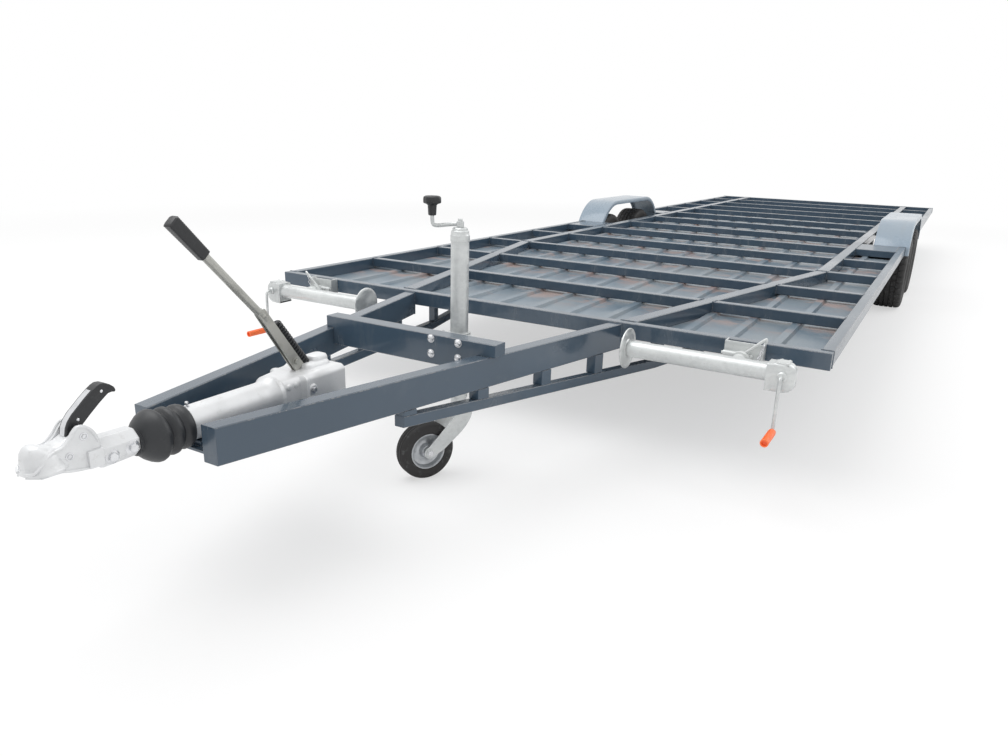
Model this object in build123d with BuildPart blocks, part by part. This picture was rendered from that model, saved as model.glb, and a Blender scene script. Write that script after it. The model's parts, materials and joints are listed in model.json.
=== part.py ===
"""Tiny house trailer: tandem-axle ladder chassis with a braced V drawbar.

Millimetres, X forward, Y to the trailer's left, Z up. The origin is on the ground, in the
middle of the trailer's overall length and width.
"""
from build123d import *
from math import atan2, cos, degrees, hypot, radians, sin, sqrt
import os

os.makedirs("parts", exist_ok=True)

# ---------------------------------------------------------------- driving dimensions
DECK_LENGTH = 8000
DECK_WIDTH = 2500
DECK_TOP = 478  # height of the deck beams' tops above the ground
NOSE_REACH = 1910  # from the deck's front face to the tip of the coupling

BEAM_HEIGHT = 60  # deck tubes
BEAM_WIDTH = 40
RAIL_WIDTH = 60  # diagonals and inner rails
CROSS_HEIGHT = 45  # cross members and outriggers, flush with the beams' tops
BAY_COUNT = 13

DIAGONAL_FRONT_Y = 540  # outer face of a diagonal at the deck's front face
INNER_RAIL_Y = 966  # outer face of an inner rail
BEND_BAY = 3  # the diagonals run into the inner rails at this cross member
WHEEL_BOX_BAY = 5  # the wheel box begins behind this cross member
WHEEL_BOX_BAYS = 3
BOX_FRONT_WIDTH = 298  # wide members that close a wheel box in front and behind
BOX_REAR_WIDTH = 198

PAN_SHEET = 3  # ribbed floor sheets between the beams
PAN_GAP = 2
RIB_PITCH = 172
RIB_CREST = 30
RIB_FOOT = 46

DRAWBAR_HEIGHT = 96
DRAWBAR_WIDTH = 50
DRAWBAR_DROP = 6  # the drawbar's top lies this far under the deck's top
DRAWBAR_REACH = 1557
DRAWBAR_NOSE_Y = 148  # outer faces
DRAWBAR_ROOT_Y = 510

CHORD_HEIGHT = 35
CHORD_WIDTH = 35
CHORD_REACH = 1020  # the lower chord's front end, ahead of the deck
CHORD_FRONT_TOP = 116  # its top, under the deck's top
CHORD_LOW_TOP = 195
CHORD_LEVEL_X = -250  # it runs level behind here
CHORD_END_X = -2950
POST_WIDTH = 46
POST_REACHES = (CHORD_REACH - POST_WIDTH / 2, 710, 415, 125)  # middles of the posts ahead of the deck
LOW_POST_STEP = 560

CROSS_BEAM_REACH = 624  # rear face of the drawbar's cross beam
CROSS_BEAM_WIDTH = 60
CROSS_BEAM_RISE = 35  # its top stands this far above the deck's top
CROSS_BEAM_HEIGHT = 100
CROSS_BEAM_OVERHANG = 3  # past the left drawbar's outer face
CROSS_BEAM_INSET = 35  # short of the right drawbar's outer face

COUPLING_DROP = 38  # coupling axis under the deck's top
BALL_RADIUS = 25

AXLE_SPACING = 710
TYRE_DIAMETER = 525
TYRE_WIDTH = 195
RIM_DIAMETER = 330
TYRE_OUT_Y = 1275  # outer face of a tyre

FENDER_RISE = 165
FENDER_SHEET = 4
FENDER_INNER_Y = 1045
FENDER_LIP = 34
FENDER_RADIUS = 352

JOCKEY_Y = 150
JOCKEY_REACH = 560
JOCKEY_TUBE_RADIUS = 30
JOCKEY_TUBE_WALL = 3
JOCKEY_RISE = 362
JOCKEY_TUBE_END = 205  # lower end of the outer tube, under the deck's top
JOCKEY_CROWN = 250  # lower end of the inner tube
JOCKEY_WHEEL_DIAMETER = 200
JOCKEY_WHEEL_WIDTH = 58
JOCKEY_TRAIL = 130
JOCKEY_TURN = -27  # the castor stands turned to the right

STEADY_Y = 974  # pivot
STEADY_DROP = 50
STEADY_STANDOFF = 160  # leg axis ahead of the deck's front face
STEADY_TUBE_RADIUS = 30
STEADY_FOOT_Y = 600
STEADY_HEAD_Y = 1084
STEADY_HEAD_DROP = 8  # the head's middle lies under the leg's axis
STEADY_FOOT_RADIUS = 72

SLIDING_GAP = 0.3  # between curved faces of pieces that move apart
PIN_GAP = 0.05

# ---------------------------------------------------------------- worked-out places
FRONT_X = (DECK_LENGTH - NOSE_REACH) / 2
REAR_X = FRONT_X - DECK_LENGTH
BAY = (DECK_LENGTH - BEAM_WIDTH) / BAY_COUNT
BEAM_BOTTOM = DECK_TOP - BEAM_HEIGHT
PAN_DEPTH = BEAM_HEIGHT - CROSS_HEIGHT  # the ribs reach up to the cross members
CROSS_BOTTOM = DECK_TOP - CROSS_HEIGHT
HALF_WIDTH = DECK_WIDTH / 2
SIDE_RAIL_IN = HALF_WIDTH - BEAM_WIDTH


def bay_x(bay):
    """Middle of the cross member at the end of a bay."""
    return FRONT_X - BEAM_WIDTH / 2 - bay * BAY


BEND_X = bay_x(BEND_BAY)
BOX_END_BAY = WHEEL_BOX_BAY + WHEEL_BOX_BAYS
BOX_FRONT_X = bay_x(WHEEL_BOX_BAY) - BEAM_WIDTH / 2 - BOX_FRONT_WIDTH
BOX_REAR_X = bay_x(BOX_END_BAY) + BEAM_WIDTH / 2 + BOX_REAR_WIDTH
BOX_MIDDLE_X = (BOX_FRONT_X + BOX_REAR_X) / 2
AXLE_X = {"front": BOX_MIDDLE_X + AXLE_SPACING / 2, "rear": BOX_MIDDLE_X - AXLE_SPACING / 2}
AXLE_Z = TYRE_DIAMETER / 2
SIDES = {"left": 1, "right": -1}


def rail_outer(x):
    """Outer face of the diagonal, or of the inner rail behind the bend."""
    if x <= BEND_X:
        return INNER_RAIL_Y
    return DIAGONAL_FRONT_Y + (INNER_RAIL_Y - DIAGONAL_FRONT_Y) * (FRONT_X - x) / (FRONT_X - BEND_X)


def rail_inner(x):
    return rail_outer(x) - RAIL_WIDTH


def drawbar_outer(x):
    slope = (DRAWBAR_ROOT_Y - DRAWBAR_NOSE_Y) / DRAWBAR_REACH
    return DRAWBAR_ROOT_Y - (x - FRONT_X) * slope


def drawbar_inner(x):
    return drawbar_outer(x) - DRAWBAR_WIDTH


def chord_outer(x):
    """The lower chord follows the drawbar, then the diagonal and the inner rail."""
    if x >= FRONT_X:
        return drawbar_outer(x)
    under_rail = INNER_RAIL_Y - (RAIL_WIDTH - DRAWBAR_WIDTH) / 2
    if x <= BEND_X:
        return under_rail
    return DRAWBAR_ROOT_Y + (under_rail - DRAWBAR_ROOT_Y) * (FRONT_X - x) / (FRONT_X - BEND_X)


def chord_inner(x):
    return chord_outer(x) - CHORD_WIDTH


def strip(x_front, x_rear, low, high, bends=()):
    """Flat shape between two lines low(x) and high(x), with a corner at each bend."""
    inside = [x for x in bends if x_rear < x < x_front]
    stations = [x_front, *sorted(inside, reverse=True), x_rear]
    outline = [(x, high(x)) for x in stations] + [(x, low(x)) for x in reversed(stations)]
    Polygon(*outline, align=None)


def save(part, name):
    part.label = name
    export_step(part, f"parts/{name}.step")


# ---------------------------------------------------------------- deck frame
with BuildPart() as front_beam:
    with BuildSketch(Plane.XY.offset(BEAM_BOTTOM)):
        with Locations((FRONT_X - BEAM_WIDTH / 2, 0)):
            Rectangle(BEAM_WIDTH, DECK_WIDTH)
    extrude(amount=BEAM_HEIGHT)
save(front_beam.part, "front_beam")

with BuildPart() as rear_beam:
    with BuildSketch(Plane.XY.offset(BEAM_BOTTOM)):
        with Locations((REAR_X + BEAM_WIDTH / 2, 0)):
            Rectangle(BEAM_WIDTH, DECK_WIDTH)
    extrude(amount=BEAM_HEIGHT)
save(rear_beam.part, "rear_beam")

with BuildPart() as side_rails:
    with BuildSketch(Plane.XY.offset(BEAM_BOTTOM)):
        for start, end in ((FRONT_X - BEAM_WIDTH, BOX_FRONT_X), (BOX_REAR_X, REAR_X + BEAM_WIDTH)):
            with Locations(((start + end) / 2, HALF_WIDTH - BEAM_WIDTH / 2)):
                Rectangle(start - end, BEAM_WIDTH)
        mirror(about=Plane.XZ)
    extrude(amount=BEAM_HEIGHT)
save(side_rails.part, "side_rails")

with BuildPart() as diagonal_rails:
    with BuildSketch(Plane.XY.offset(BEAM_BOTTOM)):
        strip(FRONT_X - BEAM_WIDTH, BEND_X, rail_inner, rail_outer)
        mirror(about=Plane.XZ)
    extrude(amount=BEAM_HEIGHT)
save(diagonal_rails.part, "diagonal_rails")

with BuildPart() as inner_rails:
    with BuildSketch(Plane.XY.offset(BEAM_BOTTOM)):
        strip(BEND_X, REAR_X + BEAM_WIDTH, rail_inner, rail_outer)
        mirror(about=Plane.XZ)
    extrude(amount=BEAM_HEIGHT)
save(inner_rails.part, "inner_rails")

with BuildPart() as cross_members:
    with BuildSketch(Plane.XY.offset(CROSS_BOTTOM)):
        for bay in range(1, BAY_COUNT):
            middle = bay_x(bay)
            strip(
                middle + BEAM_WIDTH / 2,
                middle - BEAM_WIDTH / 2,
                lambda x: -rail_inner(x),
                rail_inner,
                bends=(BEND_X,),
            )
    extrude(amount=CROSS_HEIGHT)
save(cross_members.part, "cross_members")

with BuildPart() as outriggers:
    with BuildSketch(Plane.XY.offset(CROSS_BOTTOM)):
        for bay in range(1, BAY_COUNT):
            if WHEEL_BOX_BAY < bay < BOX_END_BAY:
                continue
            front = BOX_REAR_X if bay == BOX_END_BAY else bay_x(bay) + BEAM_WIDTH / 2
            rear = BOX_FRONT_X if bay == WHEEL_BOX_BAY else bay_x(bay) - BEAM_WIDTH / 2
            strip(front, rear, rail_outer, lambda x: SIDE_RAIL_IN, bends=(BEND_X,))
        mirror(about=Plane.XZ)
    extrude(amount=CROSS_HEIGHT)
save(outriggers.part, "outriggers")


def ribbed_profile(width):
    """Section of a ribbed sheet of this width, across Y, its foot at height 0."""
    rib_count = int((width / 2 - RIB_FOOT) / RIB_PITCH)
    top = [(-width / 2, PAN_SHEET)]
    for index in range(-rib_count, rib_count + 1):
        middle = index * RIB_PITCH
        top.append((middle - RIB_FOOT / 2, PAN_SHEET))
        top.append((middle - RIB_CREST / 2, PAN_DEPTH))
        top.append((middle + RIB_CREST / 2, PAN_DEPTH))
        top.append((middle + RIB_FOOT / 2, PAN_SHEET))
    top.append((width / 2, PAN_SHEET))
    under = [(y, z - PAN_SHEET) for y, z in reversed(top)]
    Polygon(*top, *under, align=None)


BOX_MIDDLE_Y = (INNER_RAIL_Y + HALF_WIDTH) / 2
with BuildPart() as floor_pans:
    with BuildSketch(Plane((REAR_X + BEAM_WIDTH + PAN_GAP, 0, BEAM_BOTTOM), x_dir=(0, 1, 0), z_dir=(1, 0, 0))):
        ribbed_profile(2 * (SIDE_RAIL_IN - PAN_GAP))
    extrude(amount=DECK_LENGTH - 2 * (BEAM_WIDTH + PAN_GAP))
    with BuildSketch(Plane.XY.offset(BEAM_BOTTOM)):
        strip(
            FRONT_X,
            REAR_X,
            lambda x: rail_inner(x) - PAN_GAP,
            lambda x: rail_outer(x) + PAN_GAP,
            bends=(BEND_X,),
        )
        with Locations((BOX_MIDDLE_X, BOX_MIDDLE_Y)):
            Rectangle(BOX_FRONT_X - BOX_REAR_X + 2 * PAN_GAP, HALF_WIDTH - INNER_RAIL_Y)
        mirror(about=Plane.XZ)
    extrude(amount=PAN_DEPTH, mode=Mode.SUBTRACT)
save(floor_pans.part, "floor_pans")

# ---------------------------------------------------------------- drawbar
DRAWBAR_TOP = DECK_TOP - DRAWBAR_DROP
DRAWBAR_BOTTOM = DRAWBAR_TOP - DRAWBAR_HEIGHT
with BuildPart() as drawbar_beams:
    with BuildSketch(Plane.XY.offset(DRAWBAR_BOTTOM)):
        strip(FRONT_X + DRAWBAR_REACH, FRONT_X, drawbar_inner, drawbar_outer)
        mirror(about=Plane.XZ)
    extrude(amount=DRAWBAR_HEIGHT)
save(drawbar_beams.part, "drawbar_beams")


def chord_top(x):
    """Height of the lower chord's top face."""
    low = DECK_TOP - CHORD_LOW_TOP
    high = DECK_TOP - CHORD_FRONT_TOP
    share = (x - FRONT_X - CHORD_LEVEL_X) / (CHORD_REACH - CHORD_LEVEL_X)
    return low + (high - low) * max(share, 0)


CHORD_FRONT = FRONT_X + CHORD_REACH
CHORD_LEVEL = FRONT_X + CHORD_LEVEL_X
CHORD_REAR = FRONT_X + CHORD_END_X


def chord_side(height_over=0, height_under=CHORD_HEIGHT):
    """Side view of the chord between two offsets from its top face."""
    stations = (CHORD_FRONT, CHORD_LEVEL, CHORD_REAR)
    outline = [(x, chord_top(x) + height_over) for x in stations]
    outline += [(x, chord_top(x) - height_under) for x in reversed(stations)]
    Polygon(*outline, align=None)


with BuildPart() as lower_chords:
    with BuildSketch(Plane.XY):
        strip(
            CHORD_FRONT,
            CHORD_REAR,
            chord_inner,
            chord_outer,
            bends=(FRONT_X, BEND_X),
        )
        mirror(about=Plane.XZ)
    extrude(amount=DECK_TOP)
    with BuildSketch(Plane.XZ.offset(-HALF_WIDTH)):
        chord_side()
    extrude(amount=DECK_WIDTH, mode=Mode.INTERSECT)
save(lower_chords.part, "lower_chords")

LOW_POST_COUNT = int((FRONT_X - CHORD_REAR) / LOW_POST_STEP)
LOW_POSTS = [FRONT_X - (index + 0.5) * LOW_POST_STEP for index in range(LOW_POST_COUNT)]
POSTS = [(FRONT_X + reach, DRAWBAR_BOTTOM) for reach in POST_REACHES]
POSTS += [(x, BEAM_BOTTOM) for x in LOW_POSTS]
with BuildPart() as drawbar_posts:
    for middle, top in POSTS:
        with BuildSketch(Plane.XY):
            strip(middle + POST_WIDTH / 2, middle - POST_WIDTH / 2, chord_inner, chord_outer)
            mirror(about=Plane.XZ)
        extrude(amount=top)
    with BuildSketch(Plane.XZ.offset(-HALF_WIDTH)):
        chord_side(height_over=0, height_under=DECK_TOP)
    extrude(amount=DECK_WIDTH, mode=Mode.SUBTRACT)
save(drawbar_posts.part, "drawbar_posts")

CROSS_BEAM_X = FRONT_X + CROSS_BEAM_REACH
CROSS_BEAM_TOP = DECK_TOP + CROSS_BEAM_RISE
CROSS_BEAM_BOTTOM = CROSS_BEAM_TOP - CROSS_BEAM_HEIGHT
with BuildPart() as drawbar_cross_beam:
    with BuildSketch(Plane.XY.offset(DRAWBAR_TOP)):
        strip(
            CROSS_BEAM_X + CROSS_BEAM_WIDTH,
            CROSS_BEAM_X,
            lambda x: CROSS_BEAM_INSET - drawbar_outer(CROSS_BEAM_X),
            lambda x: CROSS_BEAM_OVERHANG + drawbar_outer(CROSS_BEAM_X),
        )
    extrude(amount=CROSS_BEAM_TOP - DRAWBAR_TOP)
    with BuildSketch(Plane.XY.offset(CROSS_BEAM_BOTTOM)):
        strip(
            CROSS_BEAM_X + CROSS_BEAM_WIDTH,
            CROSS_BEAM_X,
            lambda x: -drawbar_inner(x),
            drawbar_inner,
        )
    extrude(amount=DRAWBAR_TOP - CROSS_BEAM_BOTTOM)
save(drawbar_cross_beam.part, "drawbar_cross_beam")

# ---------------------------------------------------------------- overrun coupling
COUPLING_Z = DECK_TOP - COUPLING_DROP
NOSE_X = FRONT_X + NOSE_REACH
COUPLING_PLANE = Plane((0, 0, COUPLING_Z), x_dir=(1, 0, 0), z_dir=(0, -1, 0))

BRACKET_SHEET = 8
BRACKET_TOP = DRAWBAR_BOTTOM + BRACKET_SHEET
HOUSING_REAR_X = FRONT_X + 1030
HOUSING_STEP_X = FRONT_X + 1190
HOUSING_FRONT_X = FRONT_X + 1252
HOUSING_WIDTH = 150
HOUSING_RISE = 64  # over the coupling axis
NECK_SIZE = (104, 94)
TUBE_RADIUS = 44
TUBE_FRONT_X = FRONT_X + 1562
BELLOWS_REAR_X = TUBE_FRONT_X - 30
BELLOWS_GAP = 5
HOUSING_TOP = COUPLING_Z + HOUSING_RISE


def across(x, z=COUPLING_Z):
    """Plane across the coupling, seen from the front."""
    return Plane((x, 0, z), x_dir=(0, 1, 0), z_dir=(1, 0, 0))


with BuildPart() as overrun_housing:
    with BuildSketch(across(HOUSING_REAR_X, (HOUSING_TOP + BRACKET_TOP) / 2)):
        RectangleRounded(HOUSING_WIDTH, HOUSING_TOP - BRACKET_TOP, 16)
    extrude(amount=HOUSING_STEP_X - HOUSING_REAR_X)
    with BuildSketch(across(HOUSING_STEP_X)):
        RectangleRounded(*NECK_SIZE, 16)
    extrude(amount=HOUSING_FRONT_X - HOUSING_STEP_X)
    with BuildSketch(across(HOUSING_FRONT_X)):
        Circle(TUBE_RADIUS)
    extrude(amount=TUBE_FRONT_X - HOUSING_FRONT_X)
save(overrun_housing.part, "overrun_housing")

SADDLE_WIDTH = 60
with BuildPart() as coupling_bracket:
    with BuildSketch(Plane.XY.offset(DRAWBAR_BOTTOM)):
        strip(BELLOWS_REAR_X - BELLOWS_GAP, HOUSING_REAR_X, lambda x: -drawbar_inner(x), drawbar_inner)
    extrude(amount=BRACKET_SHEET)
    for front, depth, height in (
        (HOUSING_FRONT_X - 20, 40, NECK_SIZE[1]),
        (TUBE_FRONT_X - 50, 20, 2 * TUBE_RADIUS),
    ):
        with BuildSketch(Plane.XY.offset(BRACKET_TOP)):
            with Locations((front - depth / 2, 0)):
                Rectangle(depth, SADDLE_WIDTH)
        extrude(amount=COUPLING_Z - height / 2 - BRACKET_TOP)
save(coupling_bracket.part, "coupling_bracket")

BELLOWS_FRONT_X = FRONT_X + 1666
SHAFT_RADIUS = 25
BELLOWS_WAIST = 52
BELLOWS_CUFF = 12
CUFF_RADIUS = 34
LOBES = ((0, 59, 32), (32, 62, 34), (66, 66, 50))  # start ahead of the rear end, radius, length
with BuildPart() as bellows:
    with BuildSketch(COUPLING_PLANE):
        with BuildLine():
            corner = (BELLOWS_REAR_X, BELLOWS_WAIST)
            Line((BELLOWS_REAR_X, TUBE_RADIUS + SLIDING_GAP), corner)
            for start, radius, length in LOBES:
                first = BELLOWS_REAR_X + start
                last = (first + length, BELLOWS_WAIST)
                ThreePointArc(corner, (first + length / 2, radius), last)
                corner = last
            Polyline(
                corner,
                (BELLOWS_FRONT_X - BELLOWS_CUFF, CUFF_RADIUS),
                (BELLOWS_FRONT_X, CUFF_RADIUS),
                (BELLOWS_FRONT_X, SHAFT_RADIUS),
                (TUBE_FRONT_X + 1, SHAFT_RADIUS),
                (TUBE_FRONT_X + 1, TUBE_RADIUS + SLIDING_GAP),
                (BELLOWS_REAR_X, TUBE_RADIUS + SLIDING_GAP),
            )
        make_face()
    revolve(axis=Axis((0, 0, COUPLING_Z), (1, 0, 0)))
save(bellows.part, "bellows")

HEAD_WIDTH = 66
BALL_X = NOSE_X - 46
BALL_Z = COUPLING_Z + 22
CUP_RADIUS = 46
CUP_FOOT = 14  # the cup's rim lies this far under the ball's centre
CUP_SIDE = 16
CUP_RISE = 46
SOCKET_RADIUS = BALL_RADIUS + 1
SLEEVE_REAR_X = BELLOWS_FRONT_X + 1
SLEEVE_FRONT_X = FRONT_X + 1757
SLEEVE_FLAT = 36
SLEEVE_Z = COUPLING_Z + 6
HEAD_REAR_X = SLEEVE_FRONT_X - 26
HUMP = ((1836, 58), (1812, 75), (1799, 86), (1785, 88), (1771, 78), (1761, 58))  # ahead of the deck, over the axis
ball_plane = Plane((BALL_X, 0, BALL_Z), x_dir=(1, 0, 0), z_dir=(0, -1, 0))
with BuildPart() as coupling_head:
    with BuildSketch(Plane.XZ.offset(-HEAD_WIDTH / 2)):
        Polygon(
            (BALL_X, BALL_Z - CUP_FOOT),
            (BALL_X, BALL_Z + CUP_SIDE + 14),
            *[(FRONT_X + reach, COUPLING_Z + rise) for reach, rise in HUMP],
            (HEAD_REAR_X, SLEEVE_Z + SLEEVE_FLAT),
            (HEAD_REAR_X, SLEEVE_Z - SLEEVE_FLAT),
            (SLEEVE_FRONT_X + 20, SLEEVE_Z - SLEEVE_FLAT + 6),
            align=None,
        )
    extrude(amount=HEAD_WIDTH)
    with BuildSketch(ball_plane):
        with BuildLine():
            Polyline((0, CUP_RISE), (0, -CUP_FOOT), (CUP_RADIUS, -CUP_FOOT), (CUP_RADIUS, CUP_SIDE))
            Spline(
                (CUP_RADIUS, CUP_SIDE),
                (0, CUP_RISE),
                tangents=((0, 1), (-1, 0)),
            )
        make_face()
    revolve(axis=Axis((BALL_X, 0, 0), (0, 0, 1)))
    with BuildSketch(across(SLEEVE_REAR_X, SLEEVE_Z)):
        RegularPolygon(SLEEVE_FLAT, 8, major_radius=False, rotation=22.5)
    extrude(amount=SLEEVE_FRONT_X - SLEEVE_REAR_X)
    with BuildSketch(ball_plane):
        with BuildLine():
            Polyline((0, SOCKET_RADIUS), (0, -CUP_FOOT - 1), (SOCKET_RADIUS, -CUP_FOOT - 1), (SOCKET_RADIUS, 0))
            RadiusArc((SOCKET_RADIUS, 0), (0, SOCKET_RADIUS), -SOCKET_RADIUS)
        make_face()
    revolve(axis=Axis((BALL_X, 0, 0), (0, 0, 1)), mode=Mode.SUBTRACT)
save(coupling_head.part, "coupling_head")

with BuildPart() as draw_shaft:
    with BuildSketch(across(TUBE_FRONT_X)):
        Circle(SHAFT_RADIUS)
    extrude(amount=SLEEVE_REAR_X - TUBE_FRONT_X)
save(draw_shaft.part, "draw_shaft")

HANDLE_WIDTH = 30
HANDLE_SIDE = (  # ahead of the deck, over the coupling's axis; it stands on the head's slope
    (1817.7, 71),
    (1813, 97),
    (1801, 112),
    (1770, 138),
    (1738, 160),
    (1719, 162),
    (1700, 152),
    (1696, 141),
    (1698, 131),
    (1716, 130),
    (1785, 88),
    (1799, 86),
    (1812, 75),
)
with BuildPart() as coupling_handle:
    with BuildSketch(Plane.XZ.offset(-HANDLE_WIDTH / 2)):
        Polygon(*[(FRONT_X + reach, COUPLING_Z + rise) for reach, rise in HANDLE_SIDE], align=None)
    extrude(amount=HANDLE_WIDTH)
save(coupling_handle.part, "coupling_handle")

# ---------------------------------------------------------------- handbrake
LEVER_FOOT = (FRONT_X + 1153, HOUSING_TOP)
LEVER_JOIN = (FRONT_X + 1266, DECK_TOP + 184)
LEVER_TIP = (FRONT_X + 1510, DECK_TOP + 448)
LEVER_SHEET = 8
BLADE_WIDTH = 34
LEVER_TUBE_RADIUS = 11
GRIP_RADIUS = 17
GRIP_LENGTH = 122


def along(start, end, distance):
    """Point on the way from start to end in the side view."""
    length = hypot(end[0] - start[0], end[1] - start[1])
    return (start[0] + (end[0] - start[0]) * distance / length,
            start[1] + (end[1] - start[1]) * distance / length)


LEVER_LENGTH = hypot(LEVER_TIP[0] - LEVER_JOIN[0], LEVER_TIP[1] - LEVER_JOIN[1])
LEVER_ANGLE = degrees(atan2(LEVER_TIP[1] - LEVER_JOIN[1], LEVER_TIP[0] - LEVER_JOIN[0]))
LEVER_DIRECTION = (cos(radians(LEVER_ANGLE)), 0, sin(radians(LEVER_ANGLE)))
with BuildPart() as handbrake_lever:
    with BuildSketch(Plane.XZ.offset(-LEVER_SHEET / 2)):
        with BuildLine():
            Polyline(
                (LEVER_FOOT[0] - BLADE_WIDTH / 2, LEVER_FOOT[1]),
                (LEVER_FOOT[0] + BLADE_WIDTH / 2, LEVER_FOOT[1]),
                (LEVER_JOIN[0] + BLADE_WIDTH / 3, LEVER_JOIN[1] - BLADE_WIDTH / 3),
                (LEVER_JOIN[0] + BLADE_WIDTH / 4, LEVER_JOIN[1] + BLADE_WIDTH / 2),
                (LEVER_JOIN[0] - BLADE_WIDTH / 3, LEVER_JOIN[1] + BLADE_WIDTH / 3),
                close=True,
            )
        make_face()
    extrude(amount=LEVER_SHEET)
    with BuildSketch(Plane((LEVER_JOIN[0], 0, LEVER_JOIN[1]), x_dir=(0, 1, 0), z_dir=LEVER_DIRECTION)):
        Circle(LEVER_TUBE_RADIUS)
    extrude(amount=LEVER_LENGTH - GRIP_LENGTH + 10)
save(handbrake_lever.part, "handbrake_lever")

GRIP_START = along(LEVER_JOIN, LEVER_TIP, LEVER_LENGTH - GRIP_LENGTH)
with BuildPart() as handbrake_grip:
    with BuildSketch(Plane((GRIP_START[0], 0, GRIP_START[1]), x_dir=(0, 1, 0), z_dir=LEVER_DIRECTION)):
        Circle(GRIP_RADIUS)
    extrude(amount=GRIP_LENGTH)
    with BuildSketch(Plane((GRIP_START[0], 0, GRIP_START[1]), x_dir=(0, 1, 0), z_dir=LEVER_DIRECTION)):
        Circle(LEVER_TUBE_RADIUS + SLIDING_GAP)
    extrude(amount=10 + SLIDING_GAP, mode=Mode.SUBTRACT)
save(handbrake_grip.part, "handbrake_grip")

SPRING_RADIUS = 17
SPRING_FOOT = (LEVER_FOOT[0] - BLADE_WIDTH / 2 - 22, HOUSING_TOP)
SPRING_LENGTH = 150
SPRING_ANGLE = 62
with BuildPart() as handbrake_spring:
    with BuildSketch(Plane((SPRING_FOOT[0], 0, SPRING_FOOT[1] - SPRING_RADIUS),
                           x_dir=(0, 1, 0), z_dir=(cos(radians(SPRING_ANGLE)), 0, sin(radians(SPRING_ANGLE))))):
        with Locations((-SPRING_RADIUS - LEVER_SHEET / 2 - 1, 0)):
            Circle(SPRING_RADIUS)
    extrude(amount=SPRING_LENGTH + SPRING_RADIUS)
    with BuildSketch(Plane.XY.offset(SPRING_FOOT[1])):
        with Locations((SPRING_FOOT[0], 0)):
            Rectangle(SPRING_LENGTH, 6 * SPRING_RADIUS)
    extrude(amount=-4 * SPRING_RADIUS, mode=Mode.SUBTRACT)
save(handbrake_spring.part, "handbrake_spring")

# ---------------------------------------------------------------- jockey wheel
JOCKEY_X = FRONT_X + JOCKEY_REACH
JOCKEY_TUBE_BOTTOM = DECK_TOP - JOCKEY_TUBE_END
JOCKEY_TUBE_TOP = DECK_TOP + JOCKEY_RISE
JOCKEY_CROWN_Z = DECK_TOP - JOCKEY_CROWN
INNER_TUBE_RADIUS = JOCKEY_TUBE_RADIUS - JOCKEY_TUBE_WALL - SLIDING_GAP
CLAMP_WALL = 8
with BuildPart() as jockey_clamp:
    with BuildSketch(Plane.XY.offset(CROSS_BEAM_BOTTOM + 12)):
        with Locations((JOCKEY_X, JOCKEY_Y)):
            Circle(JOCKEY_TUBE_RADIUS + CLAMP_WALL)
        with Locations(((JOCKEY_X + CROSS_BEAM_X) / 2, JOCKEY_Y)):
            Rectangle(CROSS_BEAM_X - JOCKEY_X, 2 * JOCKEY_TUBE_RADIUS)
        with Locations((CROSS_BEAM_X - CLAMP_WALL / 2, JOCKEY_Y)):
            Rectangle(CLAMP_WALL, 150)
        with Locations((JOCKEY_X, JOCKEY_Y)):
            Circle(JOCKEY_TUBE_RADIUS, mode=Mode.SUBTRACT)
    extrude(amount=CROSS_BEAM_HEIGHT - 24)
save(jockey_clamp.part, "jockey_clamp")

with BuildPart() as jockey_outer_tube:
    with BuildSketch(Plane.XY.offset(JOCKEY_TUBE_BOTTOM)):
        with Locations((JOCKEY_X, JOCKEY_Y)):
            Circle(JOCKEY_TUBE_RADIUS)
            Circle(JOCKEY_TUBE_RADIUS - JOCKEY_TUBE_WALL, mode=Mode.SUBTRACT)
    extrude(amount=JOCKEY_TUBE_TOP - JOCKEY_TUBE_BOTTOM)
save(jockey_outer_tube.part, "jockey_outer_tube")

CRANK_ARM = 92
CRANK_SHAFT_RADIUS = 8
KNOB_RADIUS = 22
CRANK_Z = JOCKEY_TUBE_TOP + 16
CRANK_END = (JOCKEY_X + 26, JOCKEY_Y - CRANK_ARM)
with BuildPart() as jockey_crank:
    with BuildSketch(Plane.XY.offset(JOCKEY_TUBE_TOP)):
        with Locations((JOCKEY_X, JOCKEY_Y)):
            Circle(JOCKEY_TUBE_RADIUS)
    extrude(amount=6)
    with BuildSketch(Plane.XY.offset(JOCKEY_TUBE_TOP)):
        with Locations((JOCKEY_X, JOCKEY_Y)):
            Circle(CRANK_SHAFT_RADIUS)
    extrude(amount=CRANK_Z + CRANK_SHAFT_RADIUS - JOCKEY_TUBE_TOP)
    with BuildSketch(Plane.XY.offset(CRANK_Z)):
        with BuildLine():
            Line((JOCKEY_X, JOCKEY_Y), CRANK_END)
        trace(line_width=2 * CRANK_SHAFT_RADIUS)
        with Locations(CRANK_END, (JOCKEY_X, JOCKEY_Y)):
            Circle(CRANK_SHAFT_RADIUS)
    extrude(amount=CRANK_SHAFT_RADIUS)
    with BuildSketch(Plane.XY.offset(CRANK_Z)):
        with Locations(CRANK_END):
            Circle(CRANK_SHAFT_RADIUS)
    extrude(amount=42)
    with BuildSketch(Plane.XY.offset(CRANK_Z + 32)):
        with Locations(CRANK_END):
            Circle(KNOB_RADIUS)
    extrude(amount=56)
save(jockey_crank.part, "jockey_crank")

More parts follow.
